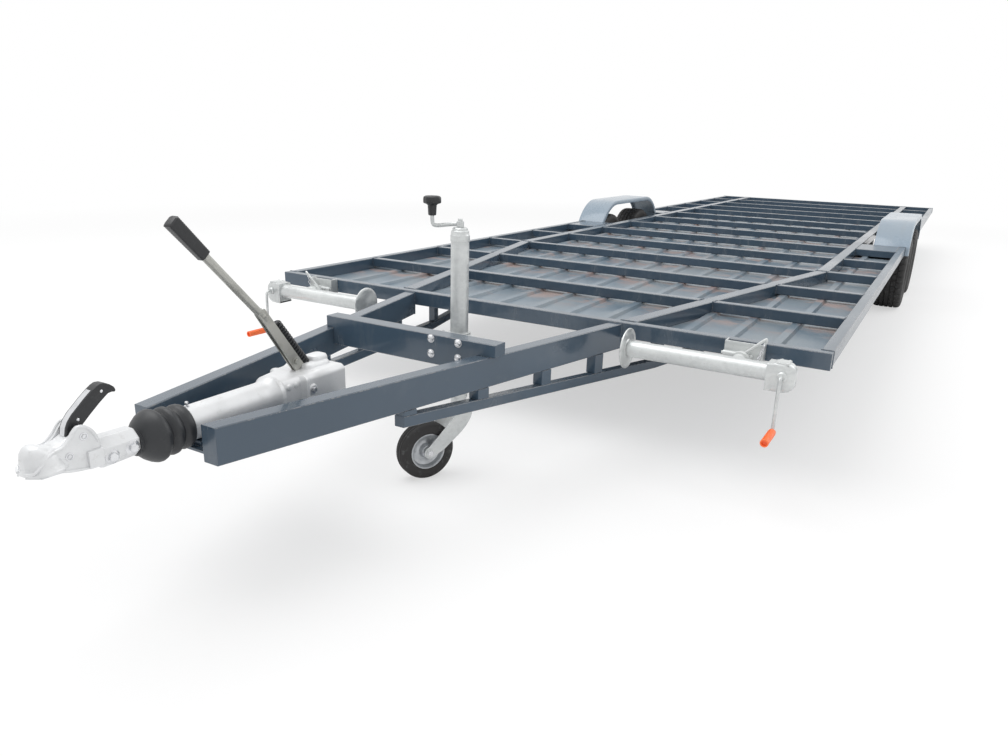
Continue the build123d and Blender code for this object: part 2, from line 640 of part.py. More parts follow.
SWIVEL_PIN_RADIUS = 10
SWIVEL_PIN_HEIGHT = 60
INNER_TUBE_LENGTH = 400
with BuildPart() as jockey_inner_tube:
    with BuildSketch(Plane.XY.offset(JOCKEY_CROWN_Z)):
        with Locations((JOCKEY_X, JOCKEY_Y)):
            Circle(INNER_TUBE_RADIUS)
    extrude(amount=INNER_TUBE_LENGTH)
    with BuildSketch(Plane.XY.offset(JOCKEY_CROWN_Z)):
        with Locations((JOCKEY_X, JOCKEY_Y)):
            Circle(SWIVEL_PIN_RADIUS + PIN_GAP)
    extrude(amount=SWIVEL_PIN_HEIGHT + 2, mode=Mode.SUBTRACT)
save(jockey_inner_tube.part, "jockey_inner_tube")

WHEEL_HUB = (JOCKEY_TRAIL, JOCKEY_WHEEL_DIAMETER / 2)
FORK_SHEET = 5
FORK_GAP = JOCKEY_WHEEL_WIDTH + 14
FORK_BOLT_RADIUS = 8
FORK_EYE = 22
CROWN_TOP = JOCKEY_CROWN_Z - SLIDING_GAP
CROWN_HALF = 32
turn = radians(JOCKEY_TURN)
jockey_side = Plane((JOCKEY_X, JOCKEY_Y, 0), x_dir=(cos(turn), sin(turn), 0), z_dir=(sin(turn), -cos(turn), 0))
with BuildPart() as jockey_fork:
    with BuildSketch(Plane.XY.offset(CROWN_TOP - FORK_SHEET)):
        with Locations((JOCKEY_X, JOCKEY_Y)):
            Rectangle(2 * CROWN_HALF, FORK_GAP + 2 * FORK_SHEET, rotation=JOCKEY_TURN)
    extrude(amount=FORK_SHEET)
    with BuildSketch(Plane.XY.offset(CROWN_TOP - FORK_SHEET)):
        with Locations((JOCKEY_X, JOCKEY_Y)):
            Circle(SWIVEL_PIN_RADIUS)
    extrude(amount=FORK_SHEET + SWIVEL_PIN_HEIGHT)
    for cheek_face in (-FORK_GAP / 2 - FORK_SHEET, FORK_GAP / 2):
        with BuildSketch(jockey_side.offset(cheek_face)):
            with BuildLine():
                Polyline(
                    (-CROWN_HALF, CROWN_TOP),
                    (CROWN_HALF, CROWN_TOP),
                    (CROWN_HALF + 16, CROWN_TOP - 22),
                    (CROWN_HALF + 52, CROWN_TOP - 62),
                    (WHEEL_HUB[0] + 8, WHEEL_HUB[1] + FORK_EYE),
                    (WHEEL_HUB[0] + FORK_EYE, WHEEL_HUB[1]),
                    (WHEEL_HUB[0] + 8, WHEEL_HUB[1] - FORK_EYE),
                    (WHEEL_HUB[0] - 14, WHEEL_HUB[1] - FORK_EYE + 4),
                    (CROWN_HALF + 40, CROWN_TOP - 118),
                    (CROWN_HALF - 24, CROWN_TOP - 73),
                    (-CROWN_HALF, CROWN_TOP - 22),
                    close=True,
                )
            make_face()
        extrude(amount=FORK_SHEET)
    with BuildSketch(jockey_side.offset(-FORK_GAP / 2 - FORK_SHEET - 6)):
        with Locations(WHEEL_HUB):
            Circle(FORK_BOLT_RADIUS)
    extrude(amount=FORK_GAP + 2 * FORK_SHEET + 12)
save(jockey_fork.part, "jockey_fork")

JOCKEY_RIM_RADIUS = 62
JOCKEY_HUB_RADIUS = 22
with BuildPart() as jockey_rim:
    with BuildSketch(jockey_side):
        with Locations(WHEEL_HUB):
            Circle(JOCKEY_HUB_RADIUS)
    extrude(amount=JOCKEY_WHEEL_WIDTH / 2, both=True)
    with BuildSketch(jockey_side):
        with Locations(WHEEL_HUB):
            Circle(JOCKEY_RIM_RADIUS)
            Circle(JOCKEY_RIM_RADIUS - 4, mode=Mode.SUBTRACT)
    extrude(amount=21, both=True)
    with BuildSketch(jockey_side):
        with Locations(WHEEL_HUB):
            Circle(JOCKEY_RIM_RADIUS - 2)
    extrude(amount=3, both=True)
    with BuildSketch(jockey_side):
        with Locations(WHEEL_HUB):
            Circle(FORK_BOLT_RADIUS + PIN_GAP)
    extrude(amount=JOCKEY_WHEEL_WIDTH, both=True, mode=Mode.SUBTRACT)
save(jockey_rim.part, "jockey_rim")

with BuildPart() as jockey_tyre:
    with BuildSketch(jockey_side.offset(-JOCKEY_WHEEL_WIDTH / 2)):
        with Locations(WHEEL_HUB):
            Circle(JOCKEY_WHEEL_DIAMETER / 2)
    extrude(amount=JOCKEY_WHEEL_WIDTH)
    fillet(jockey_tyre.edges().filter_by(GeomType.CIRCLE), 20)
    with BuildSketch(jockey_side):
        with Locations(WHEEL_HUB):
            Circle(JOCKEY_RIM_RADIUS)
    extrude(amount=JOCKEY_WHEEL_WIDTH, both=True, mode=Mode.SUBTRACT)
save(jockey_tyre.part, "jockey_tyre")

# ---------------------------------------------------------------- corner steadies
STEADY_X = FRONT_X + STEADY_STANDOFF
STEADY_Z = DECK_TOP - STEADY_DROP
CHANNEL_SHEET = 6
CHANNEL_DEPTH = 43  # the bracket is a channel that stands this far off the front beam
CHANNEL_SIZE = (132, 112)
CHANNEL_TOP = DECK_TOP + 4
PIVOT_RADIUS = 12
PIVOT_LENGTH = STEADY_STANDOFF - STEADY_TUBE_RADIUS + 4
BOSS_RADIUS = 26
HEAD_SIZE = (70, 96)
HEAD_CORNER = 14
HEAD_LENGTH = 88
INNER_LEG_SHOWN = 8
STEADY_FOOT_SHEET = 8
INNER_LEG_RADIUS = STEADY_TUBE_RADIUS - 4 - SLIDING_GAP
STEADY_CRANK_OUT = 51  # from the head's inboard end to the crank
STEADY_CRANK_REACH = 30  # from the head's face to the arm
STEADY_CRANK_ARM = 176
STEADY_ROD_RADIUS = 7
STEADY_GRIP_RADIUS = 12
STEADY_GRIP_LENGTH = 120
for name, side in SIDES.items():
    pivot_plane = Plane((FRONT_X, side * STEADY_Y, STEADY_Z), x_dir=(0, 1, 0), z_dir=(1, 0, 0))
    channel_plane = Plane(
        (FRONT_X, side * STEADY_Y, CHANNEL_TOP - CHANNEL_SIZE[1] / 2), x_dir=(0, 1, 0), z_dir=(1, 0, 0)
    )
    with BuildPart() as steady_bracket:
        with BuildSketch(channel_plane):
            Rectangle(*CHANNEL_SIZE)
        extrude(amount=CHANNEL_DEPTH)
        with BuildSketch(channel_plane):
            Rectangle(CHANNEL_SIZE[0] - 2 * CHANNEL_SHEET, CHANNEL_SIZE[1])
        extrude(amount=CHANNEL_DEPTH - CHANNEL_SHEET, mode=Mode.SUBTRACT)
        with BuildSketch(pivot_plane):
            Circle(PIVOT_RADIUS)
        extrude(amount=PIVOT_LENGTH)
    save(steady_bracket.part, f"steady_bracket_{name}")

    outwards = {"x_dir": (1, 0, 0), "z_dir": (0, side, 0)}
    tube_plane = Plane((STEADY_X, side * (STEADY_FOOT_Y + INNER_LEG_SHOWN), STEADY_Z), **outwards)
    head_plane = Plane((STEADY_X, side * STEADY_HEAD_Y, STEADY_Z - STEADY_HEAD_DROP), **outwards)
    foot_plane = Plane((STEADY_X, side * STEADY_FOOT_Y, STEADY_Z), **outwards)
    boss_plane = pivot_plane.offset(CHANNEL_DEPTH + SLIDING_GAP)
    with BuildPart() as steady_leg:
        with BuildSketch(tube_plane):
            Circle(STEADY_TUBE_RADIUS)
        extrude(amount=STEADY_HEAD_Y - STEADY_FOOT_Y - INNER_LEG_SHOWN)
        with BuildSketch(boss_plane):
            Circle(BOSS_RADIUS)
        extrude(amount=STEADY_STANDOFF - CHANNEL_DEPTH - SLIDING_GAP)
        with BuildSketch(tube_plane):
            Circle(INNER_LEG_RADIUS + SLIDING_GAP)
        extrude(amount=STEADY_HEAD_Y - STEADY_FOOT_Y - INNER_LEG_SHOWN, mode=Mode.SUBTRACT)
        with BuildSketch(head_plane):
            RectangleRounded(*HEAD_SIZE, HEAD_CORNER)
        extrude(amount=HEAD_LENGTH)
        with BuildSketch(boss_plane):
            Circle(PIVOT_RADIUS + PIN_GAP)
        extrude(amount=PIVOT_LENGTH + 2 - CHANNEL_DEPTH, mode=Mode.SUBTRACT)
    save(steady_leg.part, f"steady_leg_{name}")

    with BuildPart() as steady_foot:
        with BuildSketch(foot_plane):
            Circle(STEADY_FOOT_RADIUS)
        extrude(amount=STEADY_FOOT_SHEET / 2, both=True)
        with BuildSketch(foot_plane):
            Circle(INNER_LEG_RADIUS)
        extrude(amount=STEADY_HEAD_Y - STEADY_FOOT_Y - 10)
    save(steady_foot.part, f"steady_foot_{name}")

    head_face = STEADY_X + HEAD_SIZE[0] / 2
    crank_y = side * (STEADY_HEAD_Y + STEADY_CRANK_OUT)
    arm_x = head_face + STEADY_CRANK_REACH
    grip_z = STEADY_Z - STEADY_CRANK_ARM
    forwards = {"x_dir": (0, 1, 0), "z_dir": (1, 0, 0)}
    with BuildPart() as steady_crank:
        with BuildSketch(Plane((head_face, crank_y, STEADY_Z), **forwards)):
            Circle(STEADY_ROD_RADIUS)
        extrude(amount=STEADY_CRANK_REACH + STEADY_ROD_RADIUS)
        with BuildSketch(Plane((arm_x, crank_y, STEADY_Z), x_dir=(1, 0, 0), z_dir=(0, 0, -1))):
            Circle(STEADY_ROD_RADIUS)
        extrude(amount=STEADY_CRANK_ARM)
        with BuildSketch(Plane((arm_x, crank_y, grip_z), **forwards)):
            Circle(STEADY_GRIP_RADIUS)
        extrude(amount=STEADY_GRIP_LENGTH)
    save(steady_crank.part, f"steady_crank_{name}")

# ---------------------------------------------------------------- axles
AXLE_TUBE = 70
AXLE_TUBE_Z = AXLE_Z + 55
AXLE_LEAD = 150  # the axle tube's lead ahead of the stub axles
SPINDLE_RADIUS = 22
ARM_WIDTH = 30
ARM_Y = 985
TYRE_MIDDLE_Y = TYRE_OUT_Y - TYRE_WIDTH / 2
DISC_Y = TYRE_MIDDLE_Y + 28
for name, x in AXLE_X.items():
    with BuildPart() as axle:
        with BuildSketch(Plane((x + AXLE_LEAD, -ARM_Y, AXLE_TUBE_Z), x_dir=(-1, 0, 0), z_dir=(0, 1, 0))):
            Rectangle(AXLE_TUBE, AXLE_TUBE)
        extrude(amount=2 * ARM_Y)
        with BuildSketch(Plane.XY.offset(AXLE_TUBE_Z + AXLE_TUBE / 2)):
            for side in SIDES.values():
                with Locations((x + AXLE_LEAD, side * (INNER_RAIL_Y - RAIL_WIDTH / 2))):
                    Rectangle(140, RAIL_WIDTH)
        extrude(amount=BEAM_BOTTOM - AXLE_TUBE_Z - AXLE_TUBE / 2)
        for side in SIDES.values():
            arm_plane = Plane((0, side * ARM_Y, 0), x_dir=(1, 0, 0), z_dir=(0, -1, 0))
            with BuildSketch(arm_plane):
                with BuildLine():
                    Line((x + AXLE_LEAD, AXLE_TUBE_Z), (x, AXLE_Z))
                trace(line_width=AXLE_TUBE)
                with Locations((x, AXLE_Z), (x + AXLE_LEAD, AXLE_TUBE_Z)):
                    Circle(AXLE_TUBE / 2)
            extrude(amount=-side * ARM_WIDTH)
            with BuildSketch(arm_plane):
                with Locations((x, AXLE_Z)):
                    Circle(SPINDLE_RADIUS)
            extrude(amount=-side * (DISC_Y - ARM_Y + 24))
    save(axle.part, f"axle_{name}")

# ---------------------------------------------------------------- road wheels
RIM_SHEET = 6
RIM_WIDTH = 152
DRUM_RADIUS = 118
DRUM_WIDTH = 62
DRUM_IN_Y = ARM_Y + ARM_WIDTH + 8
HUB_RADIUS = 42
HUB_OUT = 46
for axle_name, x in AXLE_X.items():
    for side_name, side in SIDES.items():
        wheel_axis = Axis((x, 0, AXLE_Z), (0, 1, 0))
        wheel_plane = Plane((x, 0, AXLE_Z), x_dir=(0, side, 0), z_dir=(side, 0, 0))
        rim_radius = RIM_DIAMETER / 2
        rim_in = TYRE_MIDDLE_Y - RIM_WIDTH / 2
        rim_out = TYRE_MIDDLE_Y + RIM_WIDTH / 2
        bore = SPINDLE_RADIUS + PIN_GAP
        with BuildPart() as rim:
            with BuildSketch(wheel_plane):
                with BuildLine():
                    Polyline(
                        (DRUM_IN_Y, bore),
                        (DRUM_IN_Y, DRUM_RADIUS),
                        (DRUM_IN_Y + DRUM_WIDTH, DRUM_RADIUS),
                        (DRUM_IN_Y + DRUM_WIDTH, 60),
                        (DISC_Y - RIM_SHEET, 60),
                        (DISC_Y - RIM_SHEET, rim_radius - RIM_SHEET),
                        (rim_in, rim_radius - RIM_SHEET),
                        (rim_in, rim_radius),
                        (rim_out, rim_radius),
                        (rim_out, rim_radius - RIM_SHEET),
                        (DISC_Y, rim_radius - RIM_SHEET),
                        (DISC_Y, HUB_RADIUS),
                        (DISC_Y + HUB_OUT, HUB_RADIUS),
                        (DISC_Y + HUB_OUT, bore),
                        close=True,
                    )
                make_face()
            revolve(axis=wheel_axis)
        save(rim.part, f"rim_{axle_name}_{side_name}")

        shoulder = 26
        with BuildPart() as tyre:
            with BuildSketch(wheel_plane):
                with Locations((TYRE_MIDDLE_Y, (rim_radius + TYRE_DIAMETER / 2) / 2)):
                    RectangleRounded(TYRE_WIDTH, TYRE_DIAMETER / 2 - rim_radius, shoulder)
            revolve(axis=wheel_axis)
        save(tyre.part, f"tyre_{axle_name}_{side_name}")

# ---------------------------------------------------------------- fenders
FENDER_TOP = DECK_TOP + FENDER_RISE
ARCH_Z = FENDER_TOP - FENDER_RADIUS  # height of the arcs' centres
ARCH_REACH = sqrt(FENDER_RADIUS**2 - (DECK_TOP - ARCH_Z) ** 2)  # from an arc's centre to its upright foot


def fender_arch(inset, depth_over):
    """Side view of the arch, set in from its outer skin, down to this far under the deck beams."""
    low = BEAM_BOTTOM - depth_over
    radius = FENDER_RADIUS - inset
    foot_z = ARCH_Z + sqrt(radius**2 - (ARCH_REACH - inset) ** 2)
    front_foot = (BOX_FRONT_X - inset, foot_z)
    rear_foot = (BOX_REAR_X + inset, foot_z)
    front_top = (BOX_FRONT_X - ARCH_REACH, FENDER_TOP - inset)
    rear_top = (BOX_REAR_X + ARCH_REACH, FENDER_TOP - inset)
    with BuildLine() as arch:
        Line((front_foot[0], low), front_foot)
        RadiusArc(front_foot, front_top, -radius)
        Line(front_top, rear_top)
        RadiusArc(rear_top, rear_foot, -radius)
        Line(rear_foot, (rear_foot[0], low))
        Line((rear_foot[0], low), (front_foot[0], low))
    make_face(arch.edges())


for name, side in SIDES.items():
    inner_y = side * FENDER_INNER_Y
    width = TYRE_OUT_Y - FENDER_INNER_Y
    skin_plane = Plane((0, inner_y, 0), x_dir=(1, 0, 0), z_dir=(0, -1, 0))
    with BuildPart() as fender:
        with BuildSketch(skin_plane):
            fender_arch(0, 0)
        extrude(amount=-side * width)
        with BuildSketch(skin_plane):
            fender_arch(FENDER_LIP, 1)
        extrude(amount=-side * width, mode=Mode.SUBTRACT)
        with BuildSketch(Plane((0, inner_y + side * FENDER_SHEET, 0), x_dir=(1, 0, 0), z_dir=(0, -1, 0))):
            fender_arch(FENDER_SHEET, 1)
        extrude(amount=-side * (width - 2 * FENDER_SHEET), mode=Mode.SUBTRACT)
    save(fender.part, f"fender_{name}")
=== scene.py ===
"""Tiny house trailer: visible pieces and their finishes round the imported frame, in metres.

X points ahead, Y to the trailer's left and Z up, as in the frame. Each operator makes one
piece or a group of like pieces, and takes its places from the frame's nodes.
"""
import json
from math import asin, cos, pi, radians, sin, sqrt, tau

import bmesh
import bpy
from bpy.props import FloatProperty, FloatVectorProperty, IntProperty, PointerProperty
from bpy.types import Operator, Panel, PropertyGroup
from mathutils import Euler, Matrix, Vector

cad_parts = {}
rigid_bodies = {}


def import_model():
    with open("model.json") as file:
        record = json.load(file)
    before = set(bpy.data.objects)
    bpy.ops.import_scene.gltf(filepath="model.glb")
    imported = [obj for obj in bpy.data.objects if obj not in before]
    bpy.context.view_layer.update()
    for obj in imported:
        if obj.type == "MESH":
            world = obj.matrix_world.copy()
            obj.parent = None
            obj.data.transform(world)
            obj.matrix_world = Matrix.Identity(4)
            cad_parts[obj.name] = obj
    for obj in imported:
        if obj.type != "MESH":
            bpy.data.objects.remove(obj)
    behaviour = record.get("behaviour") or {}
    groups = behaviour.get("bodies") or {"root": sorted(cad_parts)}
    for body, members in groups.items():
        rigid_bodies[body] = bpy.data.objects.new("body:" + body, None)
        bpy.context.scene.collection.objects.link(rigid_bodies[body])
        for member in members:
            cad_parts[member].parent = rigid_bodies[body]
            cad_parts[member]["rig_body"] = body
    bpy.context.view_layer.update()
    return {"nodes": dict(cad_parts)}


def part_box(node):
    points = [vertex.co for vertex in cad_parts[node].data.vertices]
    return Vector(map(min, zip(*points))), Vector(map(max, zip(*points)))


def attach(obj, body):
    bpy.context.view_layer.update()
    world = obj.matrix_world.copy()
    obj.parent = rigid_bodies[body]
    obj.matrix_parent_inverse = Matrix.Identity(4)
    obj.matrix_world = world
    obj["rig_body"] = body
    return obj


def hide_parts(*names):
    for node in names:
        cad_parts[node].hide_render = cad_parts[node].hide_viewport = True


bl_info = {
    "name": "Tiny house trailer",
    "version": (1, 0, 0),
    "blender": (4, 5, 0),
    "location": "3D View > Sidebar > Trailer",
    "description": "Builds a tandem-axle chassis for a tiny house round its packed frame",
    "category": "Object",
}

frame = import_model()

AHEAD = Vector((1, 0, 0))
LEFT = Vector((0, 1, 0))
UP = Vector((0, 0, 1))
SIDES = {"left": 1, "right": -1}
MM = 0.001


def low(node):
    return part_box(node)[0]


def high(node):
    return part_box(node)[1]


def middle(node):
    return (low(node) + high(node)) / 2


def metres(pairs):
    """Pairs of millimetres, such as a turned profile's (distance, radius)."""
    return [(first * MM, second * MM) for first, second in pairs]


def full_turn(count):
    """Angles that part a full turn evenly."""
    return [tau * index / count for index in range(count)]


def side_spoke(turn):
    """Direction at this angle in the plane of a wheel."""
    return Vector((cos(turn), 0, sin(turn)))


DECK_FRONT = high("front_beam").x
DECK_REAR = low("rear_beam").x
DECK_TOP = high("front_beam").z
BEAM_WIDTH = high("front_beam").x - low("front_beam").x
BAY_COUNT = 13
BAY = (DECK_FRONT - DECK_REAR - BEAM_WIDTH) / BAY_COUNT
COUPLING_Z = middle("draw_shaft").z


# ---------------------------------------------------------------- settings
def length(name, description, default):
    return FloatProperty(
        name=name, description=description, default=default, min=0, precision=4, unit="LENGTH"
    )


def share(name, description, default):
    return FloatProperty(
        name=name, description=description, default=default, min=0, max=1, subtype="FACTOR"
    )


def colour(name, description, default):
    return FloatVectorProperty(
        name=name, description=description, default=default, min=0, max=1, size=3, subtype="COLOR"
    )


class TrailerSizes(PropertyGroup):
    """Sizes of the details that the frame leaves open."""

    tube_corner: length("Tube corner", "Radius of a rolled tube's corners", 4 * MM)
    bead: length("Weld bead", "Radius of a weld bead", 2.6 * MM)
    bead_ripple: length("Weld ripple", "Distance between the ripples of a bead", 5 * MM)
    plate_corner: length("Plate corner", "Softened edge of plates and cast pieces", 1.2 * MM)
    fender_lip: length("Fender lip", "Depth of a fender's turned-down lip", 34 * MM)
    tread_depth: length("Tread depth", "Depth of a road tyre's grooves", 7 * MM)
    spring_wire: length("Spring wire", "Diameter of the handbrake spring's wire", 4.4 * MM)
    wheel_bolts: IntProperty(
        name="Wheel bolts", description="Bolts that hold a road wheel", default=5, min=3, max=8
    )


class TrailerFinishes(PropertyGroup):
    """Colours of the finishes."""

    paint: colour("Paint", "Blue-grey gloss of the frame", (0.043, 0.070, 0.102))
    paint_dust: colour("Dust", "Dust on upward faces", (0.30, 0.31, 0.31))
    # This colour shows the primer at chips. It also paints an even highlight along the frame's
    # rounded top edges.
    chip_and_edge_light: colour("Chip", "Primer that shows at worn edges", (0.36, 0.33, 0.30))
    # Painted light: the sheets carry the frame's blue, and this colour is lighter than the frame's
    # paint to stand for the light the level sheets catch.
    floor: colour("Floor", "Blue-grey of the ribbed floor sheets", (0.115, 0.165, 0.210))
    stain: colour("Stain", "Reddish earth washed into the floor", (0.40, 0.25, 0.20))
    fender: colour("Fender", "Lighter blue-grey of the fenders", (0.230, 0.290, 0.350))
    zinc: colour("Zinc", "Hot-dip galvanised steel", (0.60, 0.62, 0.62))
    milk: colour("Milky zinc", "Runs in the galvanised coat", (0.78, 0.80, 0.79))
    pit: colour("Pits", "Small pits in the galvanised coat", (0.30, 0.30, 0.29))
    silver: colour("Silver", "Cast pieces of the coupling", (0.74, 0.75, 0.76))
    grime: colour("Grime", "Dirt in the castings' low places", (0.42, 0.41, 0.39))
    bright: colour("Bright steel", "Plated bolts and the draw shaft", (0.72, 0.73, 0.75))
    lever: colour("Lever", "Dull plated steel of the handbrake", (0.42, 0.42, 0.39))
    plastic: colour("Black plastic", "Handles and knobs", (0.016, 0.017, 0.019))
    rubber: colour("Rubber", "Bellows", (0.020, 0.022, 0.025))
    tyre: colour("Tyre", "Tyre rubber", (0.022, 0.021, 0.021))
    orange: colour("Orange plastic", "Grips of the steadies' cranks", (0.90, 0.17, 0.045))
    rim: colour("Rim", "Silver of the wheels", (0.50, 0.52, 0.54))
    axle: colour("Axle", "Dark coat of the axles", (0.10, 0.105, 0.11))


class TrailerStage(PropertyGroup):
    """Floor, lamps and camera."""

    floor_reach: length("Floor reach", "Half the floor's width", 40.0)
    floor_near: length("Plain floor", "Distance where the floor begins to fade to white", 5.5)
    floor_far: length("White floor", "Distance where the floor is all white", 10.0)
    ambient: share("Ambient", "Strength of the white surroundings on the trailer", 0.85)
    floor_light: share("Floor light", "Share of plain white in the floor in view", 0.55)
    key_power: FloatProperty(
        name="Key lamp", description="Power of the soft lamp overhead", default=330, min=0,
        unit="POWER",
    )
    key_size: length("Key lamp size", "Width of the soft lamp", 7.0)
    eye: FloatVectorProperty(
        name="Camera", description="Place of the camera", default=(5.660, 1.524, 1.1197),
        size=3, subtype="TRANSLATION", unit="LENGTH",
    )
    eye_turn: FloatVectorProperty(
        name="Camera turn", description="Rotation of the camera",
        default=(radians(72.486), radians(-1.562), radians(120.662)),
        size=3, subtype="EULER", unit="ROTATION",
    )
    lens: FloatProperty(
        name="Lens", description="Focal length on a 36 mm wide sensor", default=26.95, min=8
    )


# ---------------------------------------------------------------- shapes
def add_object(name, data):
    made = bpy.data.objects.new(name, data)
    bpy.context.scene.collection.objects.link(made)
    return made


def to_data(mesh, name):
    """Hands a mesh in the making over to Blender."""
    data = bpy.data.meshes.new(name)
    mesh.to_mesh(data)
    mesh.free()
    return data


class Shape:
    """A mesh in the making. Every method that adds to it gives it back."""

    def __init__(self):
        self.mesh = bmesh.new()

    def skin(self, rings, loop=False):
        """Faces between closed rings of points, with the two ends closed."""
        rows = [[self.mesh.verts.new(point) for point in ring] for ring in rings]
        for near, far in zip(rows, rows[1:] + rows[:1] if loop else rows[1:]):
            for index in range(len(near)):
                self.mesh.faces.new((near[index - 1], near[index], far[index], far[index - 1]))
        if not loop:
            self.mesh.faces.new(rows[0])
            self.mesh.faces.new(rows[-1])
        return self

    def lathe(self, centre, axis, profile, steps=48, loop=False):
        """Turned shape from (distance along the axis, radius) pairs."""
        axis = Vector(axis).normalized()
        across = axis.orthogonal().normalized()
        other = axis.cross(across)
        spokes = [across * cos(turn) + other * sin(turn) for turn in full_turn(steps)]
        centre = Vector(centre)
        rings = [
            [centre + axis * distance + spoke * radius for spoke in spokes]
            for distance, radius in profile
        ]
        return self.skin(rings, loop)

    def tube(self, start, end, radius, inner=0, steps=40):
        """Round bar, or a tube where inner isn't 0."""
        start, end = Vector(start), Vector(end)
        run = (end - start).length
        if inner:
            profile = [(0, radius), (run, radius), (run, inner), (0, inner)]
            return self.lathe(start, end - start, profile, steps, loop=True)
        return self.lathe(start, end - start, [(0, radius), (run, radius)], steps)

    def sweep(self, path, radius, sides=8, loop=False):
        """Round bar along a path; radius is one number, or a list with one for each point."""
        path = [Vector(point) for point in path]
        radii = radius if isinstance(radius, list) else [radius] * len(path)
        turns = full_turn(sides)
        across = None
        rings = []
        for index, point in enumerate(path):
            last = index == len(path) - 1
            before = path[index - 1] if index or loop else point
            after = path[0 if last and loop else index if last else index + 1]
            heading = (after - before).normalized()
            across = across or heading.orthogonal()
            across = (across - heading * across.dot(heading)).normalized()
            other = heading.cross(across)
            rings.append(
                [point + (across * cos(turn) + other * sin(turn)) * radii[index] for turn in turns]
            )
        return self.skin(rings, loop)

    def slab(self, outline, depth):
        """Plate with this outline of points in space, and depth as a vector."""
        outline = [Vector(point) for point in outline]
        return self.skin([outline, [point + Vector(depth) for point in outline]])

    def side_slab(self, outline, y_from, y_to):
        """Plate whose outline is seen from the side, as (x, z) pairs."""
        return self.slab([(x, y_from, z) for x, z in outline], (0, y_to - y_from, 0))

    def block(self, corner, opposite):
        (x0, y0, z0), (x1, y1, z1) = corner, opposite
        return self.side_slab([(x0, z0), (x1, z0), (x1, z1), (x0, z1)], y0, y1)

    def bolt(self, seat, axis, radius, height, washer=1.8 * MM):
        """Hexagon head on a washer."""
        axis = Vector(axis).normalized()
        seat = Vector(seat)
        rim = 1.55 * radius
        self.lathe(seat, axis, [(0, rim), (washer * 0.7, rim), (washer, rim * 0.95)], 24)
        head = [(0, radius), (height * 0.85, radius), (height, radius * 0.86)]
        return self.lathe(seat + axis * washer, axis, head, 6)

    def dome(self, seat, axis, radius, height, steps=20):
        """Round head, such as a coach bolt's."""
        rise = [(height * sin(turn), radius * cos(turn)) for turn in (0, 0.3, 0.6, 0.9, 1.2, 1.45)]
        return self.lathe(seat, axis, [(-MM, radius)] + rise, steps)

    def finish(self, name, body, slot, replaces=(), corner=0, segments=2):
        """Makes the piece, softens its corners and hands it to its body."""
        bmesh.ops.recalc_face_normals(self.mesh, faces=self.mesh.faces)
        return make_piece(to_data(self.mesh, name), name, body, slot, replaces, corner, segments)


def make_piece(data, name, body, slot, replaces, corner, segments, limit="ANGLE"):
    data.shade_smooth()
    data.set_sharp_from_angle(angle=radians(35))
    data.materials.clear()
    data.materials.append(finish_for(slot))
    piece = add_object(name, data)
    if corner:
        soften = piece.modifiers.new("corners", "BEVEL")
        soften.width = corner
        soften.segments = segments
        soften.limit_method = limit
        soften.angle_limit = radians(32)
        soften.harden_normals = True
    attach(piece, body)
    if replaces:
        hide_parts(*replaces)
    return piece


def clean_copy(node):
    """A CAD node's mesh with its flat faces whole again."""
    mesh = bmesh.new()
    mesh.from_mesh(frame["nodes"][node].data)
    bmesh.ops.remove_doubles(mesh, verts=mesh.verts, dist=1e-5)
    bmesh.ops.dissolve_limit(mesh, angle_limit=radians(1), verts=mesh.verts, edges=mesh.edges)
    return mesh


def rounded_ring(centre, across, upward, half_across, half_up, corner, steps=5):
    """Ring of points round a rectangle with round corners, in the plane of across and upward."""
    ring = []
    for quarter, (side, rise) in enumerate(((1, 1), (-1, 1), (-1, -1), (1, -1))):
        pivot = (side * (half_across - corner), rise * (half_up - corner))
        for step in range(steps + 1):
            turn = (quarter + step / steps) * pi / 2
            wide = pivot[0] + corner * cos(turn)
            tall = pivot[1] + corner * sin(turn)
            ring.append(Vector(centre) + Vector(across) * wide + Vector(upward) * tall)
    return ring


def loft_along(stations, steps=5):
    """Rings along X from (x, half width, bottom, top, corner), about the middle plane."""
    return [
        rounded_ring((x, 0, (bottom + top) / 2), LEFT, UP, half, (top - bottom) / 2, corner, steps)
        for x, half, bottom, top, corner in stations
    ]


def arc(centre, radius, start, end, steps):
    """Points (u, v) of an arc, with its angles in degrees."""
    turns = [radians(start + (end - start) * step / steps) for step in range(steps + 1)]
    return [(centre[0] + radius * cos(turn), centre[1] + radius * sin(turn)) for turn in turns]


def smooth_path(points, steps=6):
    """Points of a smooth curve through these points."""
    points = [Vector(point) for point in points]
    ends = [2 * points[0] - points[1], *points, 2 * points[-1] - points[-2]]
    path = []
    for p0, p1, p2, p3 in zip(ends, ends[1:], ends[2:], ends[3:]):
        for step in range(steps):
            t = step / steps
            path.append(
                0.5 * (2 * p1 + (p2 - p0) * t + (2 * p0 - 5 * p1 + 4 * p2 - p3) * t**2
                       + (3 * p1 - p0 - 3 * p2 + p3) * t**3)
            )
    return path + [points[-1]]


# ---------------------------------------------------------------- finishes
class Value:
    """A socket's number. Sums on it add the nodes that work them out."""

    def __init__(self, recipe, socket):
        self.recipe = recipe
        self.socket = socket

    def sum(self, operation, first, second):
        return self.recipe.node("Math", {"operation": operation}, {0: first, 1: second})

    def __add__(self, other):
        return self.sum("ADD", self, other)

    def __sub__(self, other):
        return self.sum("SUBTRACT", self, other)

    def __rsub__(self, other):
        return self.sum("SUBTRACT", other, self)

    def __mul__(self, other):
        return self.sum("MULTIPLY", self, other)

    __radd__ = __add__
    __rmul__ = __mul__


